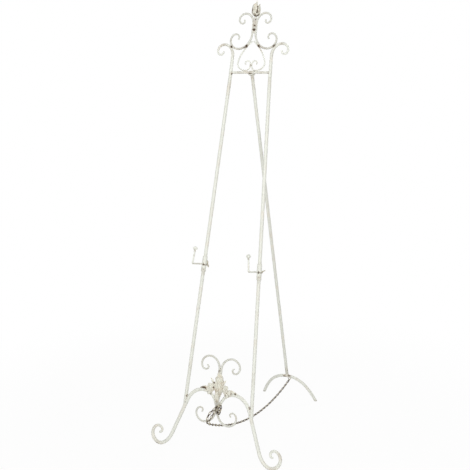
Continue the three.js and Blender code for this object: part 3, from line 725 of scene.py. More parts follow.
# Uprights
upright = {
    "diameter": 12.8,
    "wall": 1.4,
    "topHeight": 1376,
    "topHalfSpan": 80.4,
    "foot": 142,
    "seat": (136.4, 163.6),
    "seatAngle": 111.1,
    "lip": 0.5,
    "boreDepth": 40,
    "axisGap": 0.2,
    "rows": 150,
    "facets": 24,
    "rust": [(131, -3, 201, 9, 0.9), (80, 0, 1377, 10, 0.7), (112, 0, 655, 16, 0.5),
             (110, 0, 718, 14, 0.45), (81, 4, 1345, 60, 0.3), (131, 0, 300, 60, 0.22)],
}


def uprightX(height):
    fall = math.tan(math.radians(angles["uprightLean"]))
    return upright["topHalfSpan"] + (upright["topHeight"] - height) * fall


def uprightPlace(side, height):
    # frame whose z axis runs up an upright
    lean = turn(-side * angles["uprightLean"], "Y")
    return frontPlace @ shift(side * uprightX(height), 0, height) @ lean


def makeUprights():
    radius, lip = upright["diameter"] / 2, upright["lip"]
    inner = radius - upright["wall"]
    rise = upright["topHeight"] - upright["foot"]
    length = rise / math.cos(math.radians(angles["uprightLean"]))
    boreEnd = length - upright["boreDepth"]
    rows = upright["rows"]
    outline = [(upright["axisGap"], 0)] + [(radius, length * i / rows) for i in range(rows)]
    outline += [(radius, length - lip), (radius - lip, length), (inner + lip, length),
                (inner, length - lip), (inner, boreEnd), (upright["axisGap"], boreEnd)]
    seatX, seatZ = upright["seat"]
    seat = math.radians(upright["seatAngle"])
    spots = spotsAt(frontPlace, bothSides(upright["rust"]))
    for name, side in sides:
        bm = newDrawing()
        place = frontPlace.inverted() @ uprightPlace(side, upright["foot"])
        lathe(bm, outline, upright["facets"], place)
        # mitred along the leg's middle, so that the tube runs into the leg
        cut = bmesh.ops.bisect_plane(
            bm, geom=everything(bm), plane_co=(side * seatX, 0, seatZ),
            plane_no=(side * math.sin(seat), 0, -math.cos(seat)), clear_inner=True)["geom_cut"]
        bmesh.ops.holes_fill(bm, edges=edgesIn(cut))
        finishPiece(name + "UprightTube", bm, [name + "_upright"], spots)


# Base scrolls
baseScroll = {
    "diameter": 7.6,
    "tipDiameter": 5.6,
    "taperPower": 4,
    "depth": -7.38,
    "middle": (3.95, 230),
    "upper": [{"ahead": 87.5}, {"sweep": -436, "radii": (46.6, 35.5, 19.3, 8.6, 6.4)}],
    "lower": [{"ahead": 59.3}, {"sweep": 420, "radii": (55.1, 36.2, 19.2, 8, 6.4)}],
    "facets": 18,
    "rust": [(0, -10, 196, 40, 0.34), (0, -10, 163, 30, 0.42), (-12, -10, 128, 22, 0.3),
             (0, -7, 250, 70, 0.3), (66, -7, 344, 24, 0.3), (48, -7, 312, 14, 0.35)],
}


def doubleTaper(bar):
    ends = (bar["diameter"], bar["tipDiameter"])
    return lambda share: along(ends, (2 * share - 1) ** bar["taperPower"]) / 2


def scrollWalk(bar):
    upper, lower = (walkBar(bar["middle"], heading, bar[part])
                    for heading, part in ((90, "upper"), (-90, "lower")))
    return bothWays(upper, lower)


baseWalk = scrollWalk(baseScroll)


def makeBaseScrolls():
    spots = spotsAt(frontPlace, bothSides(baseScroll["rust"]) + leafSpots)
    rings = barRings(baseWalk, doubleTaper(baseScroll), baseScroll["depth"])
    for name, side in sides:
        makeBar(name + "BaseScrollBar", rings, baseScroll["facets"], [name + "_base_scroll"], spots,
                frontPlace @ mirrored(side), finish="scroll")


# Crest: stiles, crossbar, scrolls and heart
stile = {
    "diameter": 12.8,
    "tipDiameter": 6,
    "spigotDiameter": 8.8,
    "spigot": 26,
    "seatGap": 0.3,
    "rounding": 0.6,
    "facets": 22,
    "lean": 1.5,
    "taperPower": 1.4,
    "body": [{"ahead": 77.4}, {"sweep": -372, "radii": (48.8, 30.7, 16.7, 11.2, 8.2)}],
}
crossbar = {"diameter": 8.8, "height": 1394, "halfLength": 74.9, "facets": 20}
crestScroll = {
    "facets": 18,
    "diameter": 7.4,
    "tipDiameter": 5.4,
    "taperPower": 4,
    "middle": (6.8, 1555),
    "upper": [{"ahead": 16.9}, {"sweep": -400, "radii": (42, 26.1, 15.8, 8.4, 6)}],
    "lower": [{"ahead": 17}, {"sweep": 415, "radii": (66.96, 37.32, 23.06, 12.74, 6.07)}],
}
heart = {
    "facets": 14,
    "diameter": 5,
    "foot": (0, 1401.2),
    "outer": [{"sweep": 90, "radii": (46.58, 13.06)}, {"sweep": 50, "radii": (13.06, 210.5)}],
    "inner": [{"sweep": -105, "radii": (14.01, 24.9)}, {"sweep": -215, "radii": (13.06, 4.73)}],
    "innermost": 2.65,
}
stileBottom = upright["topHeight"] + stile["seatGap"]
stileFoot = (uprightX(stileBottom), stileBottom)
stileWalk = walkBar(stileFoot, 90 + stile["lean"], stile["body"])
crestWalk = scrollWalk(crestScroll)
heartWalk = bothWays(walkBar(heart["foot"], 180, heart["inner"]),
                     walkBar(heart["foot"], 0, heart["outer"]))
heartShift = heart["innermost"] - min(x for x, z, heading in heartWalk)
heartWalk = [(x + heartShift, z, heading) for x, z, heading in heartWalk]
scrollAtStile = meeting(crestWalk, stileWalk)
heartAtScroll = meeting(heartWalk, crestWalk)
crestSpots = spotsAt(frontPlace, bothSides([
    (scrollAtStile[0], 0, scrollAtStile[1], 11, 0.95),
    (heartAtScroll[0], -1, heartAtScroll[1] - 1, 10, 0.95),
    (heartAtScroll[0] + 9, 0, heartAtScroll[1] - 7, 9, 0.8), (75, 0, 1390, 10, 0.9),
    (3, -1, 1549, 8, 1.0), (2, -2, 1564, 8, 0.75), (2, -2, 1580, 8, 0.6), (0, -2, 1389, 10, 0.95),
    (0, 4, 1390, 26, 0.6), (22, 0, 1399, 10, 0.5), (2, 0, 1420, 8, 0.6), (46, -1, 1390, 40, 0.36),
    (118, 0, 1496, 24, 0.46), (132, 0, 1441, 14, 0.6), (80, 0, 1470, 60, 0.28),
    (48, 0, 1478, 30, 0.34), (86, 0, 1510, 16, 0.4)]))


def stileRadius(share):
    return along((stile["diameter"], stile["tipDiameter"]), share ** stile["taperPower"]) / 2


def stileRings():
    # spigot, shoulder and body of a stile, from the bottom up
    foot = math.radians(90 + angles["uprightLean"])
    x, z = stileFoot
    narrow, wide, drop = stile["spigotDiameter"] / 2, stile["diameter"] / 2, stile["spigot"]
    rings = barRings(stileWalk, stileRadius, roundEnds=(False, True))
    rings[0] = ringAt(x, 0, z + stile["rounding"], foot, wide)
    return [ringAt(x - drop * math.cos(foot), 0, z - drop * math.sin(foot), foot, narrow),
            ringAt(x, 0, z, foot, narrow), ringAt(x, 0, z, foot, wide - stile["rounding"])] + rings


def makeCrest():
    bars = (("CrestStileBar", "_crest_stile", stileRings(), stile, None),
            ("CrestScrollBar", "_crest_scroll", barRings(crestWalk, doubleTaper(crestScroll)),
             crestScroll, "scroll"),
            ("HeartWire", "_heart_wire", barRings(heartWalk, even(heart["diameter"] / 2)),
             heart, None))
    for name, side in sides:
        for piece, node, rings, bar, finish in bars:
            makeBar(name + piece, rings, bar["facets"], [name + node], crestSpots,
                    frontPlace @ mirrored(side), finish=finish)
    half = crossbar["halfLength"]
    line = walkBar((-half, crossbar["height"]), 0, [{"ahead": 2 * half}])
    makeBar("crestCrossbarRod", barRings(line, even(crossbar["diameter"] / 2)),
            crossbar["facets"], ["crest_crossbar"], crestSpots)


makeLegs()
makeUprights()
makeBaseScrolls()
makeCrest()
print("bars ready")

# Finial: rod with a bead, and a bud of three rows of petals round a spiked core
axisGap = 0.1  # turned outlines start this far from the axis
finial = {
    "rodRadius": 2.8,
    "rodBottom": 1536,
    "rodTop": 1600,
    "rodRounding": 0.5,
    "rodRows": range(4, 50, 4),
    "rodFacets": 24,
    "coreFacets": 28,
    "beadRadius": 5.5,
    "beadHeight": 1592,
    "beadAngles": [11.5 * i for i in range(-7, 8)],
    "budBottom": 1599.5,
    "core": [(2.6, -0.5), (5.5, 1), (8, 5), (10, 12), (10.8, 20), (9.6, 29), (6.4, 37), (3.2, 42.5),
             (2.3, 45.5), (2.7, 47.5), (2.2, 50.5), (1.2, 54.2), (0.3, 56)],
    "tall": {"count": 4, "turn": 0, "foot": 1, "height": 41.5,
             "reach": (3, 8.6, 11.8, 13.6, 14.6, 14.8, 14.4, 13.8, 13.4, 13.8),
             "halfAngle": (40, 38, 40, 42, 43, 42, 40, 36, 27, 3), "crown": 1.5, "vein": 1.0},
    "short": {"count": 4, "turn": 0, "foot": 0, "height": 23,
              "reach": (3.2, 9.5, 13, 14.8, 15.4, 15.6, 16, 16.9),
              "halfAngle": (36, 36, 35, 33, 29, 23, 15, 2), "crown": 1.0, "vein": 0.9},
    "sepal": {"count": 4, "turn": 45, "foot": -1, "height": 10,
              "reach": (3.2, 7.2, 10, 12.2, 13.8, 14.8),
              "halfAngle": (22, 24, 22, 17, 10, 2), "crown": 0.6, "vein": 0.4},
    "petalThickness": 1.5,
    "veinWidth": 0.16,
    "rust": [(0, -2, 1549, 8, 0.9), (0, -2, 1564, 8, 0.8), (0, 0, 1576, 8, 0.6),
             (0, 0, 1585, 9, 0.8), (0, 0, 1599, 8, 0.8), (-9, -12, 1618, 12, 0.6),
             (10, -11, 1612, 10, 0.6)],
    "coreRust": 0.9,
    "spikeRust": 0.15,
    "spikeFrom": 36,
}


def addPetals(bm, row):
    rust = bm.verts.layers.float["rust"]
    for i in range(row["count"]):
        middle = row["turn"] + 360 * i / row["count"]
        petal = bmesh.ops.create_grid(bm, x_segments=10, y_segments=16, size=1)["verts"]
        faces = facesOf(petal)
        for vert in petal:
            across, share = vert.co.x, (vert.co.y + 1) / 2
            vein = math.exp(-(across / finial["veinWidth"]) ** 2)
            ridge = row["crown"] * (1 - across ** 2) - row["vein"] * vein
            radius = along(row["reach"], share) + ridge * math.sin(math.pi * min(share + 0.1, 1))
            angle = math.radians(middle + across * along(row["halfAngle"], share))
            height = finial["budBottom"] + row["foot"] + row["height"] * share
            vert.co = (radius * math.sin(angle), -radius * math.cos(angle), height)
            # bare at the foot, in the vein and along the edges
            vert[rust] = max(0.62 - 1.3 * share, 0.5 * vein * (1 - 0.5 * share),
                             0.66 * abs(across) ** 5 * (1 - 0.6 * share))
        bmesh.ops.solidify(bm, geom=faces, thickness=finial["petalThickness"])


def makeFinial():
    spots = spotsAt(frontPlace, finial["rust"])
    radius, bead, small = finial["rodRadius"], finial["beadRadius"], finial["rodRounding"]
    bottom, middle, top = finial["rodBottom"], finial["beadHeight"], finial["rodTop"]
    outline = [(axisGap, bottom), (radius - small, bottom), (radius, bottom + small)]
    outline += [(radius, bottom + height) for height in finial["rodRows"]]
    for angle in map(math.radians, finial["beadAngles"]):
        outline.append((max(radius, bead * math.cos(angle)), middle + bead * math.sin(angle)))
    outline += [(radius, middle + bead - 0.1), (radius, top), (axisGap, top)]
    makeTurned("finialBeadRod", outline, finial["rodFacets"], ["finial_rod"], spots)

    bm = newDrawing()
    foot = finial["budBottom"]
    outline = [(radius, foot + height) for radius, height in finial["core"]]
    core = lathe(bm, outline, finial["coreFacets"])
    rust = bm.verts.layers.float["rust"]
    for vert in core:
        low = vert.co.z < foot + finial["spikeFrom"]
        vert[rust] = finial["coreRust" if low else "spikeRust"]
    for row in ("tall", "short", "sepal"):
        addPetals(bm, finial[row])
    finishPiece("finialBudCasting", bm, ["finial_bud"], spots, slot="ivory_casting")


makeFinial()

# Cast leaves: lobes of acanthus, each a grid laid along a curve
forward = Vector((0, -1, 0))
leaf = {
    "thickness": 2.0,
    "veinWidth": 0.14,
    "centreRust": [(0, -12, 204, 18, 0.45), (-11, -13, 238, 22, 0.36), (10, -14, 232, 14, 0.4)],
    "blade": {  # centre leaf, bottom to tip
        "line": [(0, -9, 203), (0, -6.5, 232), (0, -6.5, 276), (0, -10.5, 312)],
        "widths": (2, 5.8, 9.7, 13.5, 16.8, 18, 18.4, 17.6, 14.6, 8.6, 0.8),
        "crown": 7.6, "flutes": 5, "flute": 1.8, "vein": 1.2, "lift": 1.4,
        "scallops": 6, "scallop": 0.12,
    },
    "apron": {  # small leaf curling off the foot of the centre leaf
        "line": [(0, -14, 200.5), (0, -16.5, 212), (0, -17.5, 228), (0, -21, 241)],
        "widths": (1.2, 5, 6.4, 7.8, 8.8, 9, 8.2, 6, 1),
        "crown": 2.0, "flutes": 3, "flute": 0.7, "vein": 0.4, "lift": 2.4,
    },
    "sideLobes": [  # rounded lobe on the leg, blade along its top, spike, inner lobe, two low lobes
        {"line": [(33, -7, 226), (25, -11, 240), (27, -15, 254), (41, -14.5, 262)],
         "widths": (2.5, 4.6, 6, 8, 10, 11.2, 11.4, 10.4, 7.8, 1.5),
         "crown": 3.2, "flutes": 3, "flute": 1.0, "vein": 0.5, "lift": 0.8,
         "scallops": 4, "scallop": 0.12},
        {"line": [(36, -8, 236), (44, -11.5, 248), (58, -11, 250), (77, -5, 240)],
         "widths": (1.5, 4.6, 6.2, 6.4, 5.4, 4, 2.8, 2, 0.6),
         "crown": 2.0, "flutes": 1, "flute": 0, "vein": 0.8, "lift": 0.3},
        {"line": [(14, -9, 255), (17, -12.5, 264), (22, -15, 275), (32, -14.5, 284)],
         "widths": (1, 4, 4.8, 4.6, 3.8, 2.6, 0.6),
         "crown": 1.6, "flutes": 1, "flute": 0, "vein": 0.7, "lift": 1.6},
        {"line": [(22, -7.5, 238), (18, -9.5, 247), (20, -11, 256), (27, -12, 264)],
         "widths": (0.9, 3.4, 4.6, 4.8, 4.2, 3, 0.8),
         "crown": 1.4, "flutes": 1, "flute": 0, "vein": 0.6, "lift": 0.8},
        {"line": [(33, -8, 240), (41, -12, 243), (49, -13, 240), (54, -10, 231)],
         "widths": (1, 4.2, 5.2, 5.4, 4.8, 3.6, 1),
         "crown": 1.6, "flutes": 1, "flute": 0, "vein": 0.7, "lift": 0.8},
        {"line": [(28, -7.5, 231), (33, -11.5, 234), (38, -12.5, 231), (41, -9.5, 223)],
         "widths": (0.9, 3.6, 4.6, 4.8, 4.2, 3.2, 1),
         "crown": 1.4, "flutes": 1, "flute": 0, "vein": 0.6, "lift": 0.8},
    ],
}


def addLobe(bm, lobe, side=1):
    rust = bm.verts.layers.float["rust"]
    flutes = lobe["flutes"]
    spine = interpolate_bezier(*[Vector((side * x, y, z)) for x, y, z in lobe["line"]], 41)
    grid = bmesh.ops.create_grid(bm, x_segments=8 + 4 * flutes, y_segments=6 * len(lobe["widths"]),
                                 size=1)["verts"]
    faces = facesOf(grid)
    for vert in grid:
        across, share = vert.co.x, (vert.co.y + 1) / 2
        ahead = along(spine, min(share + 0.03, 1)) - along(spine, max(share - 0.03, 0))
        sideways = ahead.cross(forward).normalized()
        fullness = math.sin(math.pi * min(max(share, 0.04), 0.96)) ** 0.6
        ribs = lobe["flute"] * math.cos(math.pi * flutes * across)
        vein = math.exp(-(across / leaf["veinWidth"]) ** 2)
        height = fullness * (lobe["crown"] * (1 - across ** 2) + ribs - lobe["vein"] * vein)
        height += lobe["lift"] * max(share - 0.7, 0) ** 2 * 8
        half = along(lobe["widths"], share)
        if "scallops" in lobe:  # cusped edge of an acanthus leaf
            wave = lobe["scallops"] * share
            half *= 1 - lobe["scallop"] * (1 - abs(math.sin(math.pi * wave)) ** 0.7)
            height -= abs(across) ** 4 * lobe["flute"] * math.cos(math.tau * wave)
        vert.co = along(spine, share) + sideways * across * half + forward * height
        # bare at the foot, in the hollows and along the edges
        hollow = 0.5 - 0.5 * math.cos(math.pi * flutes * across) if lobe["flute"] else vein
        vert[rust] = max(0.5 - 3.2 * share, 0.42 * hollow * (1 - 0.75 * share),
                         0.4 * abs(across) ** 8)
    bmesh.ops.solidify(bm, geom=faces, thickness=leaf["thickness"])


def makeLeaves():
    spots = spotsAt(frontPlace, leafSpots)
    centreSpots = spots + spotsAt(frontPlace, leaf["centreRust"])
    for name, node, lobes, side, rust in (
            ("centreLeafCasting", "centre_leaf", (leaf["blade"], leaf["apron"]), 1, centreSpots),
            ("leftSideLeafCasting", "left_side_leaf", leaf["sideLobes"], -1, spots),
            ("rightSideLeafCasting", "right_side_leaf", leaf["sideLobes"], 1, spots)):
        bm = newDrawing()
        for lobe in lobes:
            addLobe(bm, lobe, side)
        finishPiece(name, bm, [node], rust, slot="ivory_casting", sharpAngle=60)


makeLeaves()
print("castings ready")

# Picture holders
holder = {
    "sleeveRadius": 8.8,
    "boreRadius": 6.9,
    "sleeveHalf": 29,
    "sleeveFacets": 36,
    "groove": (-4.2, -3.6, -2.4, -1.8),
    "grooveDepth": 0.7,
    "lowRows": range(-26, -4, 3),
    "highRows": range(1, 28, 3),
    "boreRows": range(26, -28, -6),
    "lip": 0.8,
    "sleeveRust": [(1, -8.8, -2, 7, 0.95), (6, -6, -3, 5, 0.7), (0, 9, 0, 8, 0.8),
                   (0, 0, 29, 12, 0.4), (0, 0, -29, 13, 0.9), (3, -8, -20, 14, 0.45),
                   (8, 0, -3, 5, 0.7)],
    "rodRadius": 2.9,
    "rodInSleeve": 0.6,
    "rodFacets": 16,
    "reach": 86,
    "bendRadius": 4.5,
    "upturn": 62,
    "rodRust": [(0, -9, 0, 10, 0.95), (0, -40, -3, 12, 0.35), (0, -84, 2, 12, 0.4),
                (0, -84, 30, 10, 0.4)],
    "knobHeight": 20,
    "knobFacets": 28,
    "knob": [(0.1, 0), (2.9, 0), (3.1, 1.8), (2.8, 3.4), (3.3, 5.2), (4.8, 7.6), (6.8, 9.6),
             (8.1, 11), (8.7, 12.4), (8.7, 13.8), (8.1, 15.5), (6.7, 17.4), (4.6, 18.9),
             (2.4, 19.7), (0.1, 20)],
    "knobRust": [(0, 0, 4, 6, 0.85), (3, 0, 8, 4.5, 0.9), (-3, 0, 8, 4.5, 0.9)],
    "seam": 0.3,  # between pieces that touch
    "nutAcross": 12.5,
    "nutThickness": 6.5,
    "nutRounding": 0.8,
    "nutRust": [(0, 10, 0, 9, 0.5)],
    "screwRadius": 2.4,
    "screwStart": 6.8,
    "screwFacets": 24,
    "threadPitch": 0.8,
    "threadDepth": 0.35,
    "hubRadius": 4.3,
    "hubLength": 8,
    "hubFoot": [(0.5, 0), (0, 0.6)],  # inside the hub's radius, above its foot
    "hubCrown": [(0, 2.5), (0.8, 0.7), (2, 0)],  # inside its radius, below its end
    "wingHalf": (6.82, 5.5, 1),
    "wingRim": 1.3,
    "wingBulge": 1.0,
    "wingOut": 2.2,
    "wingLean": 14,
    "screwRust": [(0, 16, 0, 8, 0.4)],
    "left": {"height": 689, "hookLean": 6.3, "wingTurn": 72},
    "right": {"height": 683, "hookLean": -7.1, "wingTurn": -34},
}
toFront = turn(-90, "Z")  # a drawing of the x-z plane turned to point forward
toBack = turn(-90, "X")  # a drawing's z axis turned to the back


def makeSleeve(name, place):
    outer, bore, half = holder["sleeveRadius"], holder["boreRadius"], holder["sleeveHalf"]
    lip, bottom = holder["lip"], outer - holder["grooveDepth"]
    groove = holder["groove"]
    outline = [(bore, -half + lip), (bore + lip, -half), (outer - lip, -half), (outer, -half + lip)]
    outline += [(outer, height) for height in holder["lowRows"]]
    outline += zip((outer, bottom, bottom, outer), groove)
    outline += [(outer, height) for height in holder["highRows"]]
    outline += [(outer, half - lip), (outer - lip, half), (bore + lip, half), (bore, half - lip)]
    outline += [(bore, height) for height in holder["boreRows"]] + [(bore, -half + lip)]
    makeTurned(name + "SleeveTube", outline, holder["sleeveFacets"], [name + "_sleeve"],
               spotsAt(place, holder["sleeveRust"]), place, name + "_holder")


def makeHook(name, place, lean):
    start = holder["sleeveRadius"] - holder["rodInSleeve"]
    bend = holder["bendRadius"]
    hookWalk = walkBar((start, 0), 0, [
        {"ahead": holder["reach"] - start - bend},
        {"sweep": 90 + lean, "radii": (bend, bend)},
        {"ahead": holder["upturn"] - bend - holder["knobHeight"] - holder["seam"]}], bendStep=10)
    rings = barRings(hookWalk, even(holder["rodRadius"]), roundEnds=(False, False))
    makeBar(name + "HookRod", rings, holder["rodFacets"], [name + "_hook"],
            spotsAt(place, holder["rodRust"]), place @ toFront, name + "_holder")

    x, z, heading = hookWalk[-1]
    knobPlace = place @ toFront @ ringAt(x, 0, z, heading, 1)
    makeTurned(name + "HookKnob", holder["knob"], holder["knobFacets"], [name + "_ball"],
               spotsAt(knobPlace, holder["knobRust"]), knobPlace, name + "_holder")


def makeNut(name, place):
    bm = newDrawing()
    seam = holder["seam"]
    radius = holder["nutAcross"] / 2 / math.cos(math.pi / 6)
    outer = bmesh.ops.create_circle(bm, segments=6, radius=radius)["verts"]
    bmesh.ops.subdivide_edges(bm, edges=edgesOf(outer), cuts=3)
    outerEdges = list(bm.edges)
    bore = bmesh.ops.create_circle(bm, segments=24, radius=holder["screwRadius"] + seam)["verts"]
    bmesh.ops.bridge_loops(bm, edges=outerEdges + edgesOf(bore))
    grown = bmesh.ops.extrude_face_region(bm, geom=list(bm.faces))["geom"]
    bmesh.ops.translate(bm, vec=(0, 0, holder["nutThickness"]), verts=vertsIn(grown))
    rims = [edge for edge in bm.edges if abs(edge.verts[0].co.z - edge.verts[1].co.z) < 0.01
            and min(vert.co.xy.length for vert in edge.verts) > radius * 0.8
            and len({round(face.normal.z) for face in edge.link_faces}) > 1]
    roundEdges(bm, rims, holder["nutRounding"])
    finishPiece(name + "ClampNutHex", bm, [name + "_clamp_nut"], spotsAt(place, holder["nutRust"]),
                place @ shift(0, holder["sleeveRadius"] + seam, 0) @ toBack, name + "_holder",
                "aged_steel", sharpAngle=30)


def addWing(bm, side, hubEnd):
    # an oval plate, thinner towards its rim, leaning out of the hub
    oval = bmesh.ops.create_circle(bm, segments=28, radius=1, cap_ends=True)["verts"]
    faces = facesOf(oval)
    bmesh.ops.scale(bm, vec=holder["wingHalf"], verts=oval)
    faces += bmesh.ops.inset_individual(bm, faces=faces, thickness=holder["wingRim"],
                                        depth=holder["wingBulge"])["faces"]
    verts = {vert for face in faces for vert in face.verts}
    other = vertsIn(bmesh.ops.duplicate(bm, geom=faces)["geom"])
    bmesh.ops.scale(bm, vec=(1, 1, -1), verts=other)
    verts = list(verts | set(other))
    bmesh.ops.remove_doubles(bm, verts=verts, dist=0.01)
    place = shift(side * (holder["hubRadius"] + holder["wingOut"]), 0, hubEnd + holder["wingOut"])
    bmesh.ops.transform(bm, matrix=place @ turn(90, "X") @ turn(side * holder["wingLean"], "Z"),
                        verts=[vert for vert in verts if vert.is_valid])


def makeWingScrew(name, place, wingTurn):
    bm = newDrawing()
    screw, hub, start = holder["screwRadius"], holder["hubRadius"], holder["screwStart"]
    pitch, depth = holder["threadPitch"], holder["threadDepth"]
    hubStart = holder["sleeveRadius"] + holder["nutThickness"] + 2 * holder["seam"]
    hubEnd = hubStart + holder["hubLength"]
    outline = [(axisGap, start), (screw - 0.5, start)]
    thread = start + pitch / 2
    while thread < hubStart - 0.6:
        outline += [(screw - depth, thread), (screw, thread + pitch / 2)]
        thread += pitch
    outline += [(screw, hubStart)]
    outline += [(hub - inside, hubStart + above) for inside, above in holder["hubFoot"]]
    outline += [(hub - inside, hubEnd - below) for inside, below in holder["hubCrown"]]
    lathe(bm, outline + [(axisGap, hubEnd)], holder["screwFacets"])
    for side in (-1, 1):
        addWing(bm, side, hubEnd)
    finishPiece(name + "WingScrewTurned", bm, [name + "_wing_screw"],
                spotsAt(place, holder["screwRust"]), place @ toBack @ turn(wingTurn, "Z"),
                name + "_screw", "aged_steel", sharpAngle=40)


for sideName, side in sides:
    setting = holder[sideName]
    place = uprightPlace(side, setting["height"])
    makeSleeve(sideName, place)
    makeHook(sideName, place, setting["hookLean"])
    makeNut(sideName, place)
    makeWingScrew(sideName, place, setting["wingTurn"])
print("holders ready")

# Hinge, rear leg and arched foot
hinge = {
    "barRadius": 4.4,
    "barBite": 0.6,
    "pinRadius": 2.5,
    "earX": 7.65,
    "earThickness": 2.5,
    "earHeight": 16,
    "rounding": 0.5,
    "seam": 0.3,
    "head": [(0.1, 2.6), (2.25, 2.4), (3.825, 1.7), (4.5, 0.9), (4.5, 0)],
    "pinFacets": 24,
    "bracketRust": [(0, 6, 1394, 12, 0.9), (0, 14, 1394, 10, 0.6)],
    "pinRust": [(0, 14, 1394, 14, 0.5)],
}
rear = {
    "radius": 6.1,
    "legEnd": 1,
    "straightTop": -3,
    "rows": 161,
    "rowStep": 8,
    "legFacets": 24,
    "archRadius": 6,
    "archFacets": 22,
    "soleRounding": 0.0009,
    "crownDrop": 1306.25,
    "arch": [
        {"sweep": -49, "radii": (108, 104)},
        {"sweep": -17, "radii": (200, 240)},
        {"ahead": 22},
    ],
    "eye": {"x": 9.5, "forward": 0.9, "below": 15.6, "span": 11, "bend": 3, "wireRadius": 1.2,
            "facets": 12},
    # heights from the arch's crown
    "legRust": [(-6, 0, 5, 7, 0.95), (6, 0, 5, 7, 0.95), (0, 0, 30, 40, 0.42)],
    "hingeRust": [(0, 0, 0, 12, 0.8), (0, 0, -40, 60, 0.3), (0, 0, -20, 24, 0.5)],
    "archRust": [(-11, -3, -1, 10, 0.95), (11, -2, 3, 9, 1.0), (13, -3, -7, 9, 0.9),
                 (0, 4, 0, 14, 0.7)],
    "soleRust": (0.124, 0.334, 0.016, 0.5),
    "eyeRust": [(9.5, 0, -8, 14, 0.5)],
}
crownPlace = rearPlace @ shift(0, 0, -rear["crownDrop"])


def addEar(bm, side, back):
    # a plate from the crossbar's back to round the pin
    half, thickness, behind = hinge["earHeight"] / 2, hinge["earThickness"], hingeInFront.y
    corner = bm.verts.new((0, behind, -half))
    arc = bmesh.ops.spin(bm, geom=[corner], cent=(0, behind, 0), axis=(1, 0, 0), dvec=(0, 0, 0),
                         angle=math.pi, steps=16)
    ends = [bm.verts.new((0, back, half)), bm.verts.new((0, back, -half))]
    edges = [edge for edge in bm.edges if not edge.link_faces]
    edges += [bm.edges.new(pair) for pair in
              ((arc["geom_last"][0], ends[0]), ends, (ends[1], corner))]
    plate = bmesh.ops.contextual_create(bm, geom=edges)["faces"]
    moved = vertsIn(bmesh.ops.extrude_face_region(bm, geom=plate)["geom"])
    bmesh.ops.translate(bm, vec=(thickness, 0, 0), verts=moved)
    whole = {vert for edge in edgesOf(moved) for vert in edge.verts}
    bmesh.ops.translate(bm, vec=(side * hinge["earX"] - thickness / 2, 0, 0), verts=list(whole))


def makeHinge():
    bm = newDrawing()
    back = hinge["barRadius"] - hinge["barBite"]
    for side in (-1, 1):
        addEar(bm, side, back)
    web = bmesh.ops.create_cube(bm, size=1)["verts"]
    size = (2 * hinge["earX"], hinge["earThickness"], hinge["earHeight"])
    bmesh.ops.scale(bm, vec=size, verts=web)
    bmesh.ops.translate(bm, vec=(0, back + hinge["earThickness"] / 2, 0), verts=web)
    roundEdges(bm, list(bm.edges), hinge["rounding"], clamp=True)
    spots = spotsAt(frontPlace, hinge["bracketRust"])
    finishPiece("hingeBracketEars", bm, ["hinge_bracket"], spots,
                frontPlace @ shift(0, 0, hingeInFront.z), sharpAngle=40)

    outer = hinge["earX"] + hinge["earThickness"] / 2 + hinge["seam"]
    head = [(radius, outer + height) for radius, height in hinge["head"]]
    shank = [(hinge["pinRadius"], -outer), (hinge["pinRadius"], outer)]
    outline = [(radius, -height) for radius, height in head] + shank + head[::-1]
    makeTurned("hingePinRivet", outline, hinge["pinFacets"], ["hinge_pin"],
               spotsAt(frontPlace, hinge["pinRust"]),
               frontPlace @ shift(*hingeInFront) @ turn(90, "Y"), slot="aged_steel", sharpAngle=40)


def archWalk():
    half = walkBar((0, -rear["crownDrop"]), 0, rear["arch"])
    return reversedWalk([(-x, z, math.pi - heading) for x, z, heading in half]) + half[1:]


def makeRearLeg():
    radius, foot = rear["radius"], rear["legEnd"] - rear["crownDrop"]
    outline = [(axisGap, foot)]
    outline += [(radius, foot + rear["rowStep"] * i) for i in range(rear["rows"] + 1)]
    outline += [(radius, rear["straightTop"])]
    outline += [(radius * math.cos(angle), radius * math.sin(angle))
                for angle in map(math.radians, range(0, 90, 12))]
    spots = spotsAt(crownPlace, rear["legRust"]) + spotsAt(rearPlace, rear["hingeRust"])
    makeTurned("rearLegTube", outline + [(axisGap, radius)], rear["legFacets"], ["rear_leg"], spots,
               rearPlace, "rear_support")

    bm = newDrawing()
    rings = barRings(archWalk(), even(rear["archRadius"]), roundEnds=(False, False))
    sweepRings(bm, rings, rear["archFacets"])
    bmesh.ops.transform(bm, matrix=rearPlace, verts=bm.verts)
    standFlat(bm, rear["soleRounding"])
    x, y, reach, strength = rear["soleRust"]
    spots = spotsAt(crownPlace, rear["archRust"])
    spots += [(Vector((side * x, y, 0)), reach, strength) for side in (-1, 1)]
    finishPiece("rearArchBar", bm, ["rear_arch_foot"], spots, Matrix(), "rear_support")

    eye = rear["eye"]
    down = {"ahead": eye["below"] - eye["bend"]}
    bend = {"sweep": 90, "radii": (eye["bend"], eye["bend"])}
    line = walkBar((-eye["span"] / 2, 0), -90,
                   [down, bend, {"ahead": eye["span"] - 2 * eye["bend"]}, bend, down], bendStep=15)
    rings = barRings(line, even(eye["wireRadius"]), roundEnds=(False, False))
    makeBar("chainStapleWire", rings, eye["facets"], ["chain_staple"],
            spotsAt(crownPlace, rear["eyeRust"]), crownPlace @ shift(eye["x"], -eye["forward"], 0),
            "rear_support", "aged_steel")


makeHinge()
makeRearLeg()
print("hinge and rear leg ready")

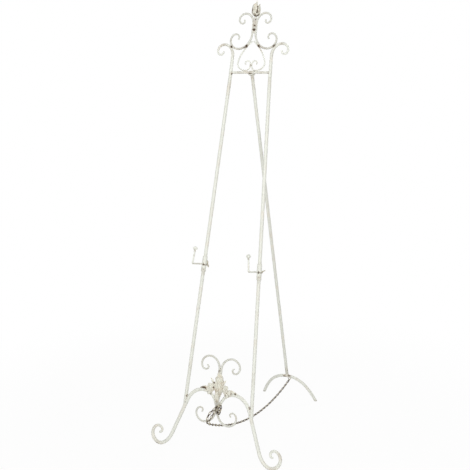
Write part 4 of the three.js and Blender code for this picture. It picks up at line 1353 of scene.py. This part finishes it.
# Chain: one link model repeated, each link a quarter turn from the one before
link = {
    "wireRadius": 1.6,
    "width": 9.4,
    "pitch": 11.72,
    "spinSteps": 14,
    "wireSides": 8,
    "count": 55,
    "everySecondLinkShade": 0.55,  # painted shade: every second link is darker
    "route": [  # from where the hanging span leaves
        (-28.5, -2, 114), (-28.6, -9, 114.4), (-29.5, -15.8, 121), (-30.5, -16, 133),
        (-27, -16, 147), (-19, -15.5, 160), (-8, -15.3, 172), (3, -15.3, 183), (12, -14.5, 192),
        (19, -12.5, 190), (20, -12, 179), (16, -12, 167), (12, -12, 155)],
    "secondRoute": [  # the same chain's second turn, over the first
        (-25, -13, 118), (-21, -17, 128), (-15, -18, 140), (-9, -18.5, 152), (-4, -19, 164),
        (2, -20, 176), (9, -19.5, 185), (13.5, -17, 180), (11, -17, 170), (7, -17.5, 160),
        (5, -16, 151)],
    "thirdRoute": [  # and the loose end, tucked in beside the stems
        (5, -15, 188), (12, -17.5, 187), (17.5, -15.5, 182), (18, -14.5, 172),
        (14, -14.5, 162), (10, -14, 152)],
}
spanStart = frontPlace @ Vector(link["route"][0])
eyePoint = crownPlace @ Vector((rear["eye"]["x"], -rear["eye"]["forward"], -rear["eye"]["below"]))


def hangingPoints(start, end):
    # where the links of the hanging chain meet, on a catenary as long as its links
    pitch = link["pitch"] / 1000
    length = link["count"] * pitch
    across = (end - start).xy.length
    rise = end.z - start.z
    low, high = 0.1 * across, 10 * across
    for _ in range(60):
        scale = (low + high) / 2
        if 2 * scale * math.sinh(across / 2 / scale) > math.sqrt(length ** 2 - rise ** 2):
            low = scale
        else:
            high = scale
    lowest = across / 2 - scale * math.atanh(rise / length)
    points = []
    for i in range(link["count"] + 1):
        u = lowest + scale * math.asinh(i * pitch / scale + math.sinh(-lowest / scale))
        point = start.lerp(end, u / across)
        point.z = start.z + scale * (math.cosh((u - lowest) / scale) - math.cosh(-lowest / scale))
        points.append(point)
    return points


def routePoints(route):
    # where the links meet along a smooth line through the corners
    corners = [Vector(corner) for corner in route]
    points = [corners[0]]
    for i, (first, second) in enumerate(zip(corners, corners[1:])):
        before, after = corners[max(i - 1, 0)], corners[min(i + 2, len(corners) - 1)]
        handles = (first + (second - before) / 6, second - (after - first) / 6)
        for point in interpolate_bezier(first, *handles, second, 60)[1:]:
            if (point - points[-1]).length >= link["pitch"]:
                points.append(point)
    return [frontPlace @ point for point in points]


def linkMesh():
    # a ring of round wire, its halves drawn apart to the link's length
    bm = newDrawing()
    ringRadius = link["width"] / 2 - link["wireRadius"]
    section = bmesh.ops.create_circle(bm, segments=link["wireSides"], radius=link["wireRadius"],
                                      matrix=shift(0, ringRadius, 0) @ turn(90, "Y"))["verts"]
    halfStep = Matrix.Rotation(math.pi / link["spinSteps"], 3, "Z")
    bmesh.ops.rotate(bm, verts=section, cent=(0, 0, 0), matrix=halfStep)
    bmesh.ops.spin(bm, geom=section + edgesOf(section), cent=(0, 0, 0), axis=(0, 0, 1),
                   dvec=(0, 0, 0), angle=math.tau, steps=link["spinSteps"], use_merge=True)
    bmesh.ops.remove_doubles(bm, verts=bm.verts, dist=0.001)
    drawn = (link["pitch"] + 2 * link["wireRadius"] - link["width"]) / 2
    rust = bm.verts.layers.float["rust"]
    for vert in bm.verts:
        vert.co.x += math.copysign(drawn, vert.co.x)
        vert[rust] = min(1, (abs(vert.co.x) / (link["pitch"] / 2)) ** 2)  # bare where the links rub, and darker there as painted shade where they cross
    bmesh.ops.recalc_face_normals(bm, faces=bm.faces)
    mesh = bpy.data.meshes.new("chainLink")
    bm.to_mesh(mesh)
    bm.free()
    return mesh


def addLinks(bm, mesh, points, normal):
    rust = bm.verts.layers.float["rust"]
    for i, (start, end) in enumerate(zip(points, points[1:])):
        ahead = (end - start).normalized()
        normal = (normal - ahead * normal.dot(ahead)).normalized()
        place = Matrix((ahead, normal.cross(ahead), normal)).transposed().to_4x4()
        place.translation = (start + end) / 2
        known = len(bm.verts)
        bm.from_mesh(mesh)
        bm.verts.ensure_lookup_table()
        verts = bm.verts[known:]
        for vert in verts:
            patch = noise.noise(vert.co * 0.15 + Vector((3.7 * i, 0, 0)))
            # every second link darker: painted shade
            vert[rust] = max(0, 0.45 * vert[rust] + 0.4 * patch + link["everySecondLinkShade"] * (i % 2))
        bmesh.ops.transform(bm, matrix=place @ millimetres, verts=verts)
        normal = normal.cross(ahead)


def makeChain():
    mesh = linkMesh()
    bm = newDrawing()
    for route, normal in (("route", (0, 0, 1)), ("secondRoute", (0.3, -1, 0)),
                          ("thirdRoute", (1, 0.4, 0))):
        addLinks(bm, mesh, routePoints(link[route]), Vector(normal))
    finishPiece("chainWrapLinks", bm, ["chain_wrap"], (), Matrix(), "front_frame", "aged_steel")
    bm = newDrawing()
    addLinks(bm, mesh, hangingPoints(spanStart, eyePoint), Vector((1, 0, 0)))
    span = finishPiece("chainSpanLinks", bm, ["chain_span"], (), Matrix(), None, "aged_steel")
    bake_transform(span, "front_frame", "rear_support", start=spanStart, end=eyePoint)
    bpy.data.meshes.remove(mesh)


makeChain()
print("chain ready")

# Weld beads where bars meet
welds = {
    "lumps": 3.2,
    "facets": 12,
    "steps": 12,
    "both": [  # start, end and radius of the beads that both sides have
        *[((x, y, z - 5), (x, y, z + 5), 2.2)
          for (x, z), y in ((scrollAtStile, 3.2), (heartAtScroll, 2.6))],
        ((129, -4.5, 199.5), (129, 4.5, 199.5), 3.2),  # where a leg and its upright part
        ((129.8, -4.3, 194.5), (135.5, -5.8, 169.5), 1.4),
        ((129.8, 4.3, 194.5), (135.5, 5.8, 169.5), 1.4),
        ((73.6, -3.5, 1394), (73.6, 3.5, 1394), 3.8),
        ((heartShift - 7, -1.6, 1398.4), (heartShift + 8, -1.6, 1398.4), 1.4),
        ((heartShift - 7, 1.6, 1398.4), (heartShift + 8, 1.6, 1398.4), 1.4),
        ((3.2, 2.2, 1541), (3.2, 2.2, 1566), 1.9),
        ((5.6, -2.5, 186), (5.6, -2.5, 200), 2.2),
        ((7, 6.2, 1390), (7, 6.2, 1398), 1.6),
    ],
    "middle": [((0, -4.8, 152), (0, -4.8, 318), 1.7), ((0, -9.2, 312), (0, -9.2, 328), 1.3)],
    "rearRadius": 1.7,
    "rearSteps": 24,
    "rearInside": 0.98,
}


def addWeld(bm, start, end, radius):
    # a lumpy run of weld metal from point to point, round at its ends
    start, end = Vector(start), Vector(end)
    run = end - start
    toRun = run.to_track_quat("Z", "Y").to_matrix().to_4x4()
    rings = []
    for i in range(welds["steps"] + 1):
        share = i / welds["steps"]
        lump = 1 + 0.16 * math.sin(share * run.length / radius * welds["lumps"])
        swell = (1 - (2 * min(max(share, 0.02), 0.98) - 1) ** 6) ** 0.5
        size = Matrix.Scale(radius * swell * lump, 4)
        rings.append(Matrix.Translation(start + run * share) @ toRun @ size)
    rust = bm.verts.layers.float["rust"]
    for vert in sweepRings(bm, rings, welds["facets"]):
        vert[rust] = 0.36 + 0.35 * noise.noise(vert.co * 0.25)


def makeWelds():
    bm = newDrawing()
    for (x, y, z), (endX, endY, endZ), radius in welds["both"]:
        for side in (-1, 1):
            addWeld(bm, (side * x, y, z), (side * endX, endY, endZ), radius)
    for start, end, radius in welds["middle"]:
        addWeld(bm, start, end, radius)
    finishPiece("frontWeldBeads", bm, [])

    # round the rear leg, where it stands on the arch
    bm = newDrawing()
    inside, steps = welds["rearInside"], welds["rearSteps"]
    ring = []
    for i in range(steps):
        x, y = (inside * rear["radius"] * part
                for part in (math.cos(math.tau * i / steps), math.sin(math.tau * i / steps)))
        rise = inside * math.sqrt(max(rear["archRadius"] ** 2 - y ** 2, 1))
        ring.append(Vector((x, y, rise - rear["crownDrop"])))
    for first, second in zip(ring, ring[1:] + ring[:1]):
        middle, reach = (first + second) / 2, (second - first) * 0.9
        addWeld(bm, middle - reach, middle + reach, welds["rearRadius"])
    finishPiece("rearWeldBeads", bm, [], (), rearPlace, "rear_support")


makeWelds()
print("welds ready")
